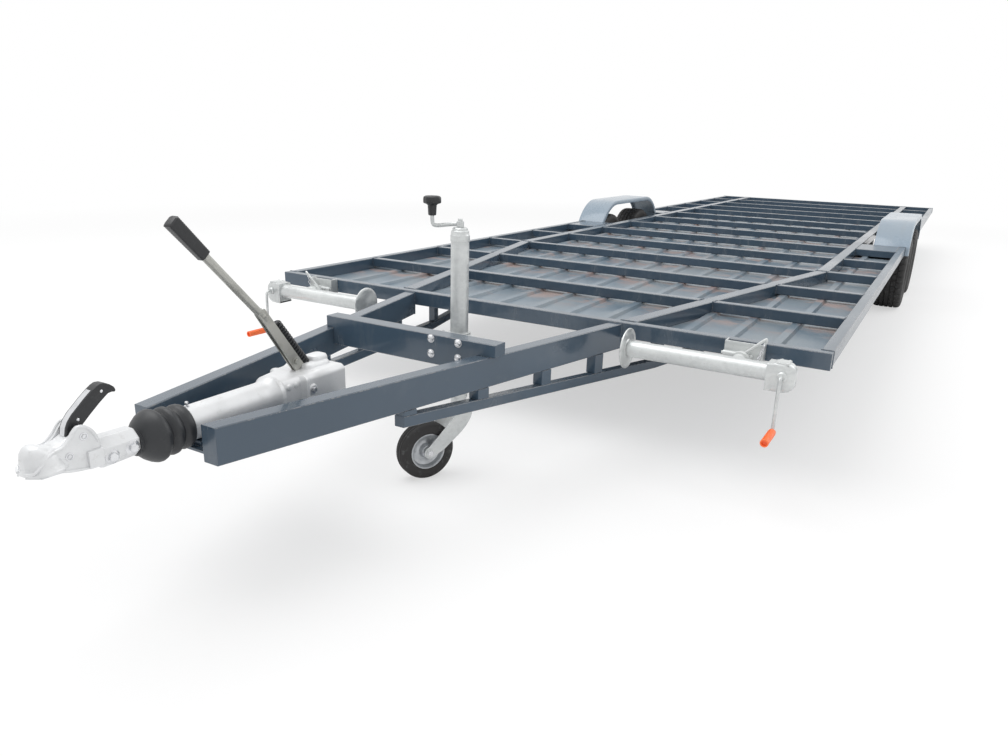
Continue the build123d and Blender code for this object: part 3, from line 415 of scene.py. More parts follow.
class Tree:
    """The node tree of a material or a world, empty at first."""

    def __init__(self, owner):
        owner.use_nodes = True
        self.tree = owner.node_tree
        self.tree.nodes.clear()

    def node(self, kind, settings=None, inputs=None, output=0):
        """Makes a node: its settings first, then the values or links of its sockets."""
        made = self.tree.nodes.new("ShaderNode" + kind)
        for setting, value in (settings or {}).items():
            setattr(made, setting, value)
        for socket, value in (inputs or {}).items():
            self.feed(made.inputs[socket], value)
        return Value(self, made.outputs[output])

    def feed(self, socket, value):
        if isinstance(value, Value):
            self.tree.links.new(value.socket, socket)
        elif socket.type == "RGBA" and len(value) == 3:
            socket.default_value = (*value, 1)
        else:
            socket.default_value = value


class Recipe(Tree):
    """One finish: a node tree round a single surface shader."""

    def __init__(self, name, roughness, metallic=0.0, **fixed):
        self.material = bpy.data.materials.new(f"{name}_finish")
        super().__init__(self.material)
        self.surface = self.tree.nodes.new("ShaderNodeBsdfPrincipled")
        self.output = self.tree.nodes.new("ShaderNodeOutputMaterial")
        self.tree.links.new(self.surface.outputs[0], self.output.inputs[0])
        self.set("Roughness", roughness)
        self.set("Metallic", metallic)
        for label, value in fixed.items():
            self.set(label.replace("_", " "), value)
        self.place = self.node("TexCoord", output="Object")
        self.facing = self.parts(self.node("TexCoord", output="Normal"))

    def set(self, label, value):
        self.feed(self.surface.inputs[label], value)

    def parts(self, vector):
        """The three numbers of a vector."""
        split = self.node("SeparateXYZ", inputs={0: vector})
        return [Value(self, socket) for socket in split.socket.node.outputs]

    def noise(self, scale, detail=3.0, stretch=(1, 1, 1), roughness=0.55):
        at = self.node("VectorMath", {"operation": "MULTIPLY"}, {0: self.place, 1: stretch})
        return self.node(
            "TexNoise",
            inputs={"Vector": at, "Scale": scale, "Detail": detail, "Roughness": roughness},
        )

    def step(self, value, start, end):
        """0 below start, 1 above end, and smooth between."""
        return self.node(
            "MapRange",
            {"interpolation_type": "SMOOTHSTEP"},
            {"Value": value, "From Min": start, "From Max": end},
        )

    def mix(self, factor, first, second):
        return self.node("Mix", {"data_type": "RGBA"}, {0: factor, 6: first, 7: second}, output=2)

    def steep(self):
        """1 on the rounded edges between level and upright faces."""
        x, y, z = self.facing
        level = self.node("Math", {"operation": "SQRT"}, {0: x * x + y * y})
        upright = self.node("Math", {"operation": "ABSOLUTE"}, {0: z})
        flat = self.node("Math", {"operation": "MAXIMUM"}, {0: upright, 1: level})
        return self.step(1 - flat, 0.015, 0.14)

    def bump(self, height, distance):
        """Relief of this many metres."""
        self.set("Normal", self.node("Bump", inputs={"Height": height, "Distance": distance}))


def gloss_paint(name, base, looks, dust, edge_wear_and_highlight):
    """Gloss coat with dust on level faces, worn edges, a painted highlight along the rounded top
    edges, and faint clouds.
    """
    recipe = Recipe(name, 0.25, Coat_Roughness=0.06, Coat_Weight=0.35)
    clouds = recipe.noise(1.7, 5)
    specks = recipe.noise(60, 4, roughness=0.7)
    streaks = recipe.noise(6, 4, (0.35, 3.0, 1.0))
    dusty = recipe.step(recipe.facing[2], 0.55, 0.95) * recipe.step(clouds, 0.38, 0.68)
    film = recipe.step(streaks, 0.48, 0.72)
    chips = recipe.steep() * recipe.step(specks, 0.50, 0.60)
    shade = recipe.mix(recipe.step(clouds, 0.35, 0.65), base, [part * 1.18 for part in base])
    shade = recipe.mix(film * 0.10 + dusty * dust, shade, looks.paint_dust)
    # Painted highlight: every rounded edge between level and upright faces is tinted lighter. The
    # speckled chips on it are wear that shows primer.
    shade = recipe.mix((recipe.steep() + chips * 2) * edge_wear_and_highlight, shade, looks.chip_and_edge_light)
    recipe.set("Base Color", shade)
    recipe.set("Roughness", 0.20 + dusty * 0.22 + film * 0.10 + chips * 0.3)
    recipe.bump(recipe.noise(420, 2) + chips * -0.6, 0.12 * MM)
    return recipe.material


def floor_paint(name, base, looks):
    """Painted sheet: a base lifted above the frame's paint as painted light, dry dust, and earth
    washed to each bay's rear.
    """
    recipe = Recipe(name, 0.32, Coat_Weight=0.15, Coat_Roughness=0.15)
    x = recipe.parts(recipe.place)[0]
    bays = (DECK_FRONT - BEAM_WIDTH - x) * (1 / BAY)
    along = recipe.node("Math", {"operation": "FRACT"}, {0: bays})
    clouds = recipe.noise(2.6, 6)
    blots = recipe.noise(9, 5, (1.0, 0.55, 1.0), 0.62)
    grains = recipe.noise(160, 3)
    washed = recipe.step(along, 0.45, 0.97) * recipe.step(blots, 0.47, 0.62)
    dry = recipe.step(clouds, 0.36, 0.66)
    # base is lighter than the frame's paint of the same blue: painted light that the level sheets
    # catch.
    shade = recipe.mix(dry * 0.40, base, looks.paint_dust)
    shade = recipe.mix(washed * 0.60, shade, looks.stain)
    shade = recipe.mix(recipe.step(grains, 0.60, 0.72) * 0.18, shade, looks.chip_and_edge_light)
    recipe.set("Base Color", shade)
    recipe.set("Roughness", 0.30 + dry * 0.20 + washed * 0.25)
    recipe.bump(grains + clouds * 3, 0.25 * MM)
    return recipe.material


def galvanised(name, base, looks):
    """Hot-dip zinc: crystals, milky runs and small grey pits."""
    recipe = Recipe(name, 0.4, metallic=0.55)
    crystals = recipe.node(
        "TexVoronoi", inputs={"Vector": recipe.place, "Scale": 95.0}, output="Color"
    )
    spangle = recipe.parts(crystals)[0]
    runs = recipe.noise(14, 4, (1.0, 0.25, 1.6))
    pits = recipe.noise(230, 3, roughness=0.7)
    milky = recipe.step(runs, 0.42, 0.68)
    shade = recipe.mix(spangle, [part * 0.90 for part in base], base)
    shade = recipe.mix(milky * 0.5, shade, looks.milk)
    shade = recipe.mix(recipe.step(pits, 0.62, 0.72) * 0.5, shade, looks.pit)
    recipe.set("Base Color", shade)
    recipe.set("Metallic", 0.62 - milky * 0.35)
    recipe.set("Roughness", 0.30 + spangle * 0.10 + milky * 0.18)
    recipe.bump(runs * 2 + pits * 0.5 + spangle * 0.2, 0.35 * MM)
    return recipe.material


def cast_metal(name, base, looks):
    """Silver-coated casting with a sandy skin and grime in scattered patches."""
    recipe = Recipe(name, 0.42, metallic=0.25)
    sand = recipe.noise(480, 3, roughness=0.65)
    clouds = recipe.noise(18, 5)
    grime = recipe.step(recipe.noise(34, 5, roughness=0.7), 0.56, 0.74)
    shade = recipe.mix(recipe.step(clouds, 0.35, 0.65), base, [part * 0.93 for part in base])
    shade = recipe.mix(grime * 0.35, shade, looks.grime)
    recipe.set("Base Color", shade)
    recipe.set("Roughness", 0.36 + grime * 0.25 + sand * 0.08)
    recipe.bump(sand + clouds * 2, 0.30 * MM)
    return recipe.material


def plated_steel(name, base, looks, roughness, metallic):
    """Plated steel with fine scratches and dull smudges."""
    recipe = Recipe(name, roughness, metallic)
    scratches = recipe.noise(90, 4, (0.3, 5, 5), 0.7)
    smudges = recipe.step(recipe.noise(22, 5), 0.45, 0.68)
    shade = recipe.mix(smudges, base, [part * 0.78 for part in base])
    shade = recipe.mix(recipe.step(scratches, 0.62, 0.72) * 0.35, shade, looks.zinc)
    recipe.set("Base Color", shade)
    recipe.set("Roughness", roughness + smudges * 0.16)
    recipe.bump(scratches, 0.12 * MM)
    return recipe.material


def moulded(name, base, looks, roughness, grain, dust):
    """Moulded plastic or rubber: fine grain, faint scuffs and some dust."""
    recipe = Recipe(name, roughness)
    pebble = recipe.noise(grain, 2)
    scuffs = recipe.step(recipe.noise(38, 5, roughness=0.7), 0.55, 0.75)
    shade = recipe.mix(scuffs * dust, base, looks.paint_dust)
    shade = recipe.mix(recipe.step(pebble, 0.3, 0.7) * 0.25, shade, [part * 1.4 for part in base])
    recipe.set("Base Color", shade)
    recipe.set("Roughness", roughness + scuffs * 0.15 + pebble * 0.10)
    recipe.bump(pebble, 0.16 * MM)
    return recipe.material


FINISHES = {  # a slot's recipe, its colour among the settings, and the recipe's own numbers
    # The frame's last number sets its worn edges and the painted highlight along its rounded top
    # edges.
    "frame_paint": (gloss_paint, "paint", 0.30, 0.12),
    "fender_paint": (gloss_paint, "fender", 0.35, 0.0),
    "floor_paint": (floor_paint, "floor"),
    "galvanised": (galvanised, "zinc"),
    "cast_metal": (cast_metal, "silver"),
    "bright_steel": (plated_steel, "bright", 0.22, 0.85),
    "dark_steel": (plated_steel, "lever", 0.38, 0.70),
    "rim_silver": (plated_steel, "rim", 0.34, 0.60),
    "axle_steel": (plated_steel, "axle", 0.45, 0.20),
    "black_plastic": (moulded, "plastic", 0.34, 900.0, 0.08),
    "orange_plastic": (moulded, "orange", 0.38, 700.0, 0.10),
    "rubber": (moulded, "rubber", 0.40, 500.0, 0.10),
    "tyre": (moulded, "tyre", 0.62, 320.0, 0.32),
}


def finish_for(slot):
    """The material of a slot, made when it is first asked for."""
    known = bpy.data.materials.get(f"{slot}_finish")
    if known:
        return known
    recipe, base, *numbers = FINISHES[slot]
    looks = bpy.context.scene.trailer_finishes
    return recipe(slot, getattr(looks, base), looks, *numbers)


def refinish(node, slot):
    """Puts a finish on a CAD node that is shown as it is."""
    materials = frame["nodes"][node].data.materials
    materials.clear()
    materials.append(finish_for(slot))


def body_of(node):
    return frame["nodes"][node]["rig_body"]


def soften_node(node, slot, corner, segments=2):
    """A copy of a CAD piece with its sharp edges broken, in its place."""
    data = to_data(clean_copy(node), node)
    return make_piece(data, f"{node}_soft", body_of(node), slot, [node], corner, segments)


def ahead(reach):
    """X of a place this many millimetres ahead of the deck."""
    return DECK_FRONT + reach * MM


def over(rise):
    """Z of a place this many millimetres over the coupling's axis."""
    return COUPLING_Z + rise * MM


def over_deck(rise):
    return DECK_TOP + rise * MM


# ---------------------------------------------------------------- frame
TUBE_NODES = (
    "front_beam",
    "rear_beam",
    "side_rails",
    "diagonal_rails",
    "inner_rails",
    "cross_members",
    "outriggers",
    "drawbar_beams",
    "drawbar_cross_beam",
    "drawbar_posts",
    "lower_chords",
)
LONG_EDGE = 0.1
SAWN_SHARE = 0.3  # of the tube's corner, at sawn ends


class TRAILER_OT_frame_tubes(Operator):
    """Round the corners of the frame's welded tubes"""

    bl_idname = "trailer.frame_tubes"
    bl_label = "Frame tubes"

    def execute(self, context):
        for node in TUBE_NODES:
            mesh = clean_copy(node)
            weight = mesh.edges.layers.float.new("bevel_weight_edge")
            for edge in mesh.edges:
                if len(edge.link_faces) == 2 and edge.calc_face_angle() > radians(20):
                    edge[weight] = 1 if edge.calc_length() > LONG_EDGE else SAWN_SHARE
            data = to_data(mesh, node)
            corner = context.scene.trailer_sizes.tube_corner
            make_piece(data, f"{node}_tubes", "frame", "frame_paint", [node], corner, 3, "WEIGHT")
        return {"FINISHED"}


def welded_ends(node, axis):
    """Corners of each end face along this axis, from one bottom corner to the other."""
    mesh = clean_copy(node)
    ends = []
    for face in mesh.faces:
        corners = [vert.co.copy() for vert in face.verts]
        if abs(face.normal[axis]) < 0.5:
            continue
        lowest = min(point.z for point in corners) + MM
        for start in range(len(corners)):
            if corners[start].z < lowest and corners[start - 1].z < lowest:
                ends.append(corners[start:] + corners[:start])
                break
    mesh.free()
    return ends


class TRAILER_OT_weld_beads(Operator):
    """Lay a rippled weld bead round the ends of the tubes"""

    bl_idname = "trailer.weld_beads"
    bl_label = "Weld beads"

    def execute(self, context):
        sizes = context.scene.trailer_sizes
        for node, axis in (
            ("cross_members", 1),
            ("outriggers", 1),
            ("side_rails", 0),
            ("diagonal_rails", 0),
            ("inner_rails", 0),
            ("drawbar_beams", 0),
        ):
            beads = Shape()
            for corners in welded_ends(node, axis):
                if node == "drawbar_beams" and corners[0].x > DECK_FRONT + LONG_EDGE:
                    continue
                self.lay(beads, corners, sizes)
            beads.finish(f"{node}_beads", "frame", "frame_paint")
        return {"FINISHED"}

    def lay(self, beads, corners, sizes):
        path, radii = [], []
        for start, end in zip(corners, corners[1:]):
            count = max(2, round((end - start).length / sizes.bead_ripple * 2))
            for index in range(count):
                path.append(start.lerp(end, index / count))
                swell = 1 + 0.20 * (-1) ** index + 0.10 * sin(len(path) * 0.7)
                radii.append(sizes.bead * swell)
        path.append(corners[-1])
        radii.append(sizes.bead * 0.7)
        beads.sweep(path, radii, sides=6)


class TRAILER_OT_floor(Operator):
    """Finish the ribbed floor sheets"""

    bl_idname = "trailer.floor"
    bl_label = "Floor sheets"

    def execute(self, context):
        refinish("floor_pans", "floor_paint")
        return {"FINISHED"}


CLAMP_BOLT_Y = (123 * MM, 229 * MM)
CLAMP_BOLT_Z = (over_deck(21), over_deck(-29))
BACKING_PLATE = 9 * MM
PLATE_BOLT_REACHES = (1080, 1220, 1460)
PLATE_BOLT_Y = 36 * MM


class TRAILER_OT_drawbar_details(Operator):
    """Bolt the jockey wheel's clamp to the cross beam and finish the coupling's plate"""

    bl_idname = "trailer.drawbar_details"
    bl_label = "Drawbar details"

    def execute(self, context):
        bolts = Shape()
        front = high("drawbar_cross_beam").x
        rear = low("drawbar_cross_beam").x
        for y in CLAMP_BOLT_Y:
            for z in CLAMP_BOLT_Z:
                bolts.lathe((front, y, z), AHEAD, metres(((0, 14), (1.2, 14), (1.8, 13))), 28)
                bolts.dome((front + 1.8 * MM, y, z), AHEAD, 11.5 * MM, 7 * MM)
                bolts.bolt((rear - BACKING_PLATE, y, z), -AHEAD, 9 * MM, 8 * MM)
        bolts.finish("cross_beam_bolts", "frame", "bright_steel")
        plate = Shape().block(
            (rear - BACKING_PLATE, 96 * MM, over_deck(-56)), (rear, 256 * MM, over_deck(33))
        )
        plate.finish("clamp_backing_plate", "frame", "galvanised", (), 1.2 * MM)
        soften_node("coupling_bracket", "frame_paint", context.scene.trailer_sizes.plate_corner)
        plate_bolts = Shape()
        bottom = low("coupling_bracket").z
        for reach in PLATE_BOLT_REACHES:
            for y in (-PLATE_BOLT_Y, PLATE_BOLT_Y):
                plate_bolts.bolt((ahead(reach), y, bottom), -UP, 10 * MM, 8 * MM)
        plate_bolts.finish("coupling_plate_bolts", "frame", "bright_steel")
        return {"FINISHED"}


# ---------------------------------------------------------------- coupling
HOUSING_STATIONS = (  # ahead of the deck, half width, bottom and top over the axis, corner
    (1030, 64, -54, 42, 14),
    (1036, 71, -58, 48, 18),
    (1060, 75, -60, 52, 20),
    (1128, 75, -60, 53, 20),
    (1140, 70, -57, 51, 20),
    (1150, 66, -55, 49, 18),
    (1172, 66, -54, 48, 18),
    (1180, 71, -57, 49, 16),
    (1189, 71, -57, 49, 16),
    (1197, 57, -50, 46, 16),
    (1236, 53, -47, 45, 18),
    (1248, 52, -48, 46, 24),
    (1251, 56, -54, 54, 52),
    (1262, 56, -54, 54, 52),
    (1268, 50, -49, 49, 48),
    (1282, 45, -45, 45, 44.9),
    (1300, 44, -44, 44, 43.9),
    (1440, 44, -44, 44, 43.9),
    (1561, 43.5, -43.5, 43.5, 43.4),
)


HOUSING_BOLT = (1162, 4)  # ahead of the deck, over the axis
LIDS = ((1100, 46, 46), (1078, 30, 60))  # ahead of the deck, half length, foot over the axis
LID_STEPS = ((0, 0), (10, 1), (15, 4), (17, 9))  # rise, how far the edge draws in
NIPPLE_REACH = 1517
NIPPLE_PROFILE = ((0, 6), (3, 6), (4, 3.4), (8, 3.4), (9, 4.6), (12, 4.2), (13.5, 2.4))


def stations_in_metres(stations):
    return [(ahead(reach), half * MM, over(bottom), over(top), corner * MM)
            for reach, half, bottom, top, corner in stations]


class TRAILER_OT_overrun_housing(Operator):
    """Cast the overrun housing with its tube, lid, bolts and grease nipple"""

    bl_idname = "trailer.overrun_housing"
    bl_label = "Overrun housing"

    def execute(self, context):
        cast = Shape().skin(loft_along(stations_in_metres(HOUSING_STATIONS), 8))
        for reach, wide, start in LIDS:
            lid = [
                rounded_ring((ahead(reach), 0, over(start + rise)), AHEAD, LEFT,
                             (wide - inset) * MM, (wide * 0.85 - inset) * MM, (16 - inset / 2) * MM)
                for rise, inset in LID_STEPS
            ]
            cast.skin(lid)
        bolt_reach, bolt_rise = HOUSING_BOLT
        for side in (-1, 1):
            seat = Vector((ahead(bolt_reach), side * 60 * MM, over(bolt_rise)))
            cast.lathe(seat, LEFT * side, metres(((0, 17), (7, 16), (9, 13))), 28)
            for reach in (1212, 1236):
                cast.lathe((ahead(reach), side * 50 * MM, over(26)), LEFT * side,
                           metres(((0, 9), (6, 8), (7.5, 5))), 20)
        cast.finish("overrun_housing_casting", "frame", "cast_metal", ["overrun_housing"],
                    context.scene.trailer_sizes.plate_corner)
        fittings = Shape()
        for side in (-1, 1):
            seat = Vector((ahead(bolt_reach), side * 69 * MM, over(bolt_rise)))
            fittings.bolt(seat, LEFT * side, 7.5 * MM, 6 * MM)
        fittings.lathe((ahead(NIPPLE_REACH), 0, over(43)), UP, metres(NIPPLE_PROFILE), 20)
        fittings.finish("housing_fittings", "frame", "bright_steel")
        refinish("draw_shaft", "bright_steel")
        return {"FINISHED"}


BELLOWS_PROFILE = (  # ahead of the deck, radius
    (1532, 50), (1534, 53), (1540, 55.5), (1548, 56), (1554, 53.5), (1558, 49.5), (1561, 48.5),
    (1564, 50), (1568, 55), (1574, 59), (1581, 59.5), (1587, 56.5), (1591, 51.5), (1594, 49.5),
    (1597, 51), (1602, 57), (1608, 62.5), (1614, 64.5), (1620, 64), (1630, 59.5), (1642, 51),
    (1651, 42), (1655, 37), (1657, 33.5), (1658.5, 32), (1660, 33.5), (1662, 32), (1664, 33.5),
    (1666, 32), (1666, 25.5), (1563, 25.5), (1563, 44.5), (1532, 44.5),
)


class TRAILER_OT_bellows(Operator):
    """Turn the rubber bellows between the tube and the coupling head"""

    bl_idname = "trailer.bellows"
    bl_label = "Bellows"

    def execute(self, context):
        centre = (DECK_FRONT, 0, over(0))
        profile = metres(BELLOWS_PROFILE)
        Shape().lathe(centre, AHEAD, profile, 72, loop=True).finish(
            "bellows_rubber", body_of("bellows"), "rubber", ["bellows"]
        )
        return {"FINISHED"}


HEAD_RIM = (  # raised edge of the head's side plates, ahead of the deck and over the axis
    (1908, 14), (1899, 18), (1889, 25), (1877, 35), (1867, 44), (1852, 50), (1836, 54), (1821, 66),
    (1809, 81), (1798, 88), (1783, 82), (1770, 67), (1761, 44),
)
HEAD_FOOT = (  # lower edge of the side plates
    (1758, -10), (1787, -9), (1809, -6), (1829, -2), (1845, 3), (1860, 4), (1886, 4), (1908, 8),
)
HEAD_CORE = (  # ahead of the deck, half width, bottom and top over the axis, corner
    (1905, 10, 14, 46, 9),
    (1900, 18, 12, 58, 16),
    (1893, 24, 10, 65, 20),
    (1884, 28, 9, 68, 22),
    (1874, 30, 8, 66, 22),
    (1864, 30, 7, 60, 20),
    (1853, 28, 7, 55.5, 16),
    (1840, 27, 6, 56, 14),
    (1828, 25, 5, 60, 12),
    (1814, 23, 4, 68, 12),
    (1797, 23, 2, 79, 12),
    (1778, 24, -2, 74, 12),
    (1764, 27, -7, 54, 12),
    (1757, 29, -10, 44, 12),
)
CUP_PROFILE = (  # over the ball's centre, radius
    (-14, 44), (-13, 46), (-9, 46), (-6, 43.5), (0, 40), (8, 38), (16, 36), (24, 32.5), (30, 27),
    (34, 19), (36, 10), (36.4, 4),
)
CUP_RADIUS = 46 * MM
BALL_X = high("coupling_head").x - CUP_RADIUS
PLATE_Y = 31 * MM
BALL_RADIUS = 26 * MM
SLEEVE_STATIONS = (  # ahead of the deck, distance to a flat
    (1667, 30), (1671, 33), (1700, 34), (1748, 35), (1756, 33),
)
SLEEVE_BOLTS = ((1737, -1), (1688, 4))  # ahead of the deck, over the axis
HEAD_PINS = ((1791, 64), (1826, 30))
PIN_PROFILE = ((0, 8.5), (1.6, 8.5), (1.6, 6.2), (0.3, 5.6), (0.3, 3.8), (2.2, 3.4))


def head_half_width(x):
    """Half the head's width, which closes round the cup towards the nose."""
    past = max(x - BALL_X, 0)
    return min(PLATE_Y, sqrt(max(CUP_RADIUS**2 - past**2, 0)))


class TRAILER_OT_coupling_head(Operator):
    """Cast the ball coupling's head and its bolted sleeve"""

    bl_idname = "trailer.coupling_head"
    bl_label = "Coupling head"

    def execute(self, context):
        head = Shape().skin(loft_along(stations_in_metres(HEAD_CORE), 7))
        ball_z = over(22)
        outside = metres(CUP_PROFILE)
        socket = [(turn[1], turn[0]) for turn in arc((0, 0), BALL_RADIUS, 88, 0, 10)]
        cup = outside + socket + [(outside[0][0], BALL_RADIUS)]
        head.lathe((BALL_X, 0, ball_z), UP, cup, 64, loop=True)
        rim = smooth_path([(ahead(x), 0, over(z)) for x, z in HEAD_RIM], 4)
        foot = [Vector((ahead(x), 0, over(z))) for x, z in HEAD_FOOT]
        plate = [point for point in [*rim, *foot] if head_half_width(point[0]) == PLATE_Y]
        for side in (-1, 1):
            inner = LEFT * side * (PLATE_Y - 10 * MM)
            head.slab([Vector(point) + inner for point in plate], LEFT * side * 10 * MM)
            for edge, radius in ((rim, 3.4 * MM), (foot, 3.0 * MM)):
                path = [Vector(point) + LEFT * side * head_half_width(point[0]) for point in edge]
                head.sweep(path, radius, 10)
            head.block(
                (ahead(1756), side * 20 * MM, over(-11)), (ahead(1789), side * 37 * MM, over(28))
            )
        head.finish("coupling_head_casting", "frame", "cast_metal", ["coupling_head"], 1.5 * MM, 3)
        self.sleeve(over(7))
        self.bolts()
        return {"FINISHED"}

    def sleeve(self, centre_z):
        rings = []
        for reach, flat in SLEEVE_STATIONS:
            radius = flat * MM / cos(pi / 8)
            turns = [pi / 8 + side * pi / 4 for side in range(8)]
            x = ahead(reach)
            rings.append([(x, radius * cos(turn), centre_z + radius * sin(turn)) for turn in turns])
        Shape().skin(rings).finish("coupling_sleeve", "frame", "cast_metal", (), 4 * MM, 3)

    def bolts(self):
        bolts = Shape()
        for side in (-1, 1):
            for reach, rise in HEAD_PINS:
                seat = (ahead(reach), side * 30.5 * MM, over(rise))
                bolts.lathe(seat, LEFT * side, metres(PIN_PROFILE), 28)
            for reach, rise in SLEEVE_BOLTS:
                bolts.bolt((ahead(reach), side * 33 * MM, over(rise)), LEFT * side, 11 * MM, 8 * MM)
        bolts.finish("coupling_bolts", "frame", "bright_steel")


HANDLE_FRONT = (  # ahead of the deck and over the axis
    (1818, 66), (1814, 84), (1808, 96), (1797, 109), (1782, 122), (1767, 135), (1749, 149),
)
HANDLE_BACK = (
    (1738, 156), (1730, 159.5), (1720, 159), (1708, 153), (1699, 145), (1696, 138), (1698, 133),
    (1705, 135), (1714, 134), (1736, 118), (1760, 98), (1778, 82), (1790, 72),
)
HANDLE_RIVETS = ((1729, 143), (1787, 96))


class TRAILER_OT_coupling_handle(Operator):
    """Mould the coupling's handle with its steel front edge and rivets"""

    bl_idname = "trailer.coupling_handle"
    bl_label = "Coupling handle"

    def execute(self, context):
        outline = [(ahead(x), over(z)) for x, z in HANDLE_FRONT + HANDLE_BACK]
        Shape().side_slab(outline, -13 * MM, 13 * MM).finish(
            "coupling_handle_grip", "frame", "black_plastic", ["coupling_handle"], 3.5 * MM, 4
        )
        edge = [(ahead(x + 1), over(z + 0.7)) for x, z in HANDLE_FRONT]
        back = [(x - 5 * MM, z - 3 * MM) for x, z in reversed(edge)]
        fittings = Shape().side_slab(edge + back, -8 * MM, 8 * MM)
        for reach, rise in HANDLE_RIVETS:
            for side in (-1, 1):
                seat = (ahead(reach), side * 12.8 * MM, over(rise))
                fittings.dome(seat, LEFT * side, 3.6 * MM, 2 * MM)
        fittings.finish("coupling_handle_steel", "frame", "bright_steel", (), 0.8 * MM)
        return {"FINISHED"}


LEVER_FOOT = Vector((ahead(1153), 0, over(58)))
LEVER_JOIN = Vector((ahead(1266), 0, over_deck(184)))
LEVER_TIP = Vector((ahead(1510), 0, over_deck(448)))
GRIP_LENGTH = 122 * MM
SPRING_FOOT = Vector((ahead(1122), -6 * MM, over(60)))
SPRING_HEAD = Vector((ahead(1215), -6 * MM, over_deck(158)))
SPRING_COILS = 16
COIL_STEPS = 16


class TRAILER_OT_handbrake(Operator):
    """Make the handbrake's blade, tube, grip and spring"""

    bl_idname = "trailer.handbrake"
    bl_label = "Handbrake"

    def execute(self, context):
        body = body_of("handbrake_lever")
        way = (LEVER_TIP - LEVER_JOIN).normalized()
        blade_way = (LEVER_JOIN - LEVER_FOOT).normalized()
        square = Vector((blade_way.z, 0, -blade_way.x))
        blade_start = LEVER_FOOT - blade_way * 6 * MM
        end = LEVER_JOIN + blade_way * 14 * MM
        outline = [blade_start + square * 17 * MM, end + square * 12 * MM, end + blade_way * 8 * MM,
                   end - square * 14 * MM, blade_start - square * 17 * MM]
        lever = Shape()
        for y in (-9, 4):
            lever.slab([point + LEFT * y * MM for point in outline], LEFT * 5 * MM)
        lever.tube(LEVER_JOIN - way * 16 * MM, LEVER_TIP - way * (GRIP_LENGTH - 10 * MM), 11 * MM)
        lever.dome(LEVER_JOIN + LEFT * 9 * MM, LEFT, 7 * MM, 4 * MM)
        lever.bolt(LEVER_FOOT + blade_way * 22 * MM + LEFT * 9 * MM, LEFT, 8 * MM, 6 * MM)
        lever.finish("handbrake_lever_steel", body, "dark_steel", ["handbrake_lever"],
                     context.scene.trailer_sizes.plate_corner)
        self.grip(way)
        self.spring(context.scene.trailer_sizes.spring_wire / 2)
        return {"FINISHED"}

    def grip(self, way):
        upward = way.cross(LEFT)
        start = LEVER_TIP - way * GRIP_LENGTH
        rings = []
        ridges = 20
        for index in range(ridges * 2 + 1):
            run = GRIP_LENGTH * index / (ridges * 2)
            swell = 0.5 * MM * (index % 2) + 1.5 * MM * index / (ridges * 2)
            ease = 3 * MM if index in (0, ridges * 2) else 0
            rings.append(
                rounded_ring(start + way * run, LEFT, upward, 12.5 * MM + swell - ease,
                             15 * MM + swell - ease, 6 * MM)
            )
        grip = Shape().skin(rings)
        grip.finish("handbrake_grip_rubber", "frame", "black_plastic", ["handbrake_grip"])

    def spring(self, wire):
        way = SPRING_HEAD - SPRING_FOOT
        along = way.normalized()
        across = LEFT
        other = along.cross(across)
        path = []
        for step in range(SPRING_COILS * COIL_STEPS + 1):
            done = step / (SPRING_COILS * COIL_STEPS)
            radius = (16 - 6 * done) * MM
            turn = tau * step / COIL_STEPS
            spoke = across * cos(turn) + other * sin(turn)
            path.append(SPRING_FOOT + way * done + spoke * radius)
        coil = Shape().sweep(path, wire, 8)
        coil.lathe(SPRING_FOOT - along * 4 * MM, along, [(0, 13 * MM), (way.length, 7.5 * MM)], 24)
        coil.finish("handbrake_spring_coils", "frame", "rubber", ["handbrake_spring"])


# ---------------------------------------------------------------- jockey wheel
JOCKEY = middle("jockey_outer_tube")
HUB = middle("jockey_tyre")
CROWN = Vector((JOCKEY.x, JOCKEY.y, low("jockey_inner_tube").z))
TRAIL_WAY = Vector((HUB.x - CROWN.x, HUB.y - CROWN.y, 0)).normalized()
AXLE_WAY = UP.cross(TRAIL_WAY)
HUB_REACH = (HUB - CROWN).dot(TRAIL_WAY) / MM
HUB_DROP = (HUB.z - CROWN.z) / MM
FORK_UPPER = (  # behind the pivot, over the crown
    (31, 0), (36, -9), (52, -28), (79, -56), (108, -82),
)
FORK_LOWER = ((76, -124), (43, -98), (10, -72), (-14, -46), (-27, -24), (-32, -6), (-32, 0))
FORK_EYE = 21
KNOB_PROFILE = (  # over the deck, radius
    (402, 9), (403, 12), (406, 13), (434, 14.5), (438, 18), (441, 27), (444, 28.5), (456, 28.5),
    (461, 27), (464, 22), (465, 10),
)
JOCKEY_TYRE_PROFILE = (  # out from the wheel's middle, radius
    (22, 62), (27, 64), (28.6, 70), (28.2, 75), (29, 77), (29, 83), (28, 85), (27.4, 90),
    (24.5, 95), (19.5, 98.6), (15.5, 99.6), (14.5, 98), (12.5, 98), (11.5, 100), (5, 100),
    (4, 98.2), (2, 98.2), (1, 100),
)
JOCKEY_RIM_PROFILE = (  # as the tyre's
    (25.5, 62.5), (25.5, 59), (23, 56.5), (19, 55.5), (9, 52.5), (5, 46), (5, 34), (8, 27),
    (13, 24), (26, 22), (27, 20), (27, 8.6),
)


CRANK_CAP = ((361, 25), (365, 25), (369, 21), (370, 9), (384, 8.6))  # over the deck, radius
CRANK_ARM = (  # share of the way to the knob, over the deck
    (0, 379), (0.15, 379), (0.5, 375), (0.84, 371), (0.97, 376), (1, 390), (1, 404),
)
AXLE_NUT = ((0, 8), (3.5, 8), (4.5, 7), (4.5, 3.5), (1, 3))
RIM_RIVETS = 6
KNOB_LOBES = 8


def both_ways(profile):
    """A wheel's section from its outer half, as (distance, radius) in metres."""
    half = metres(profile)
    return half + [(-out, radius) for out, radius in reversed(half)]


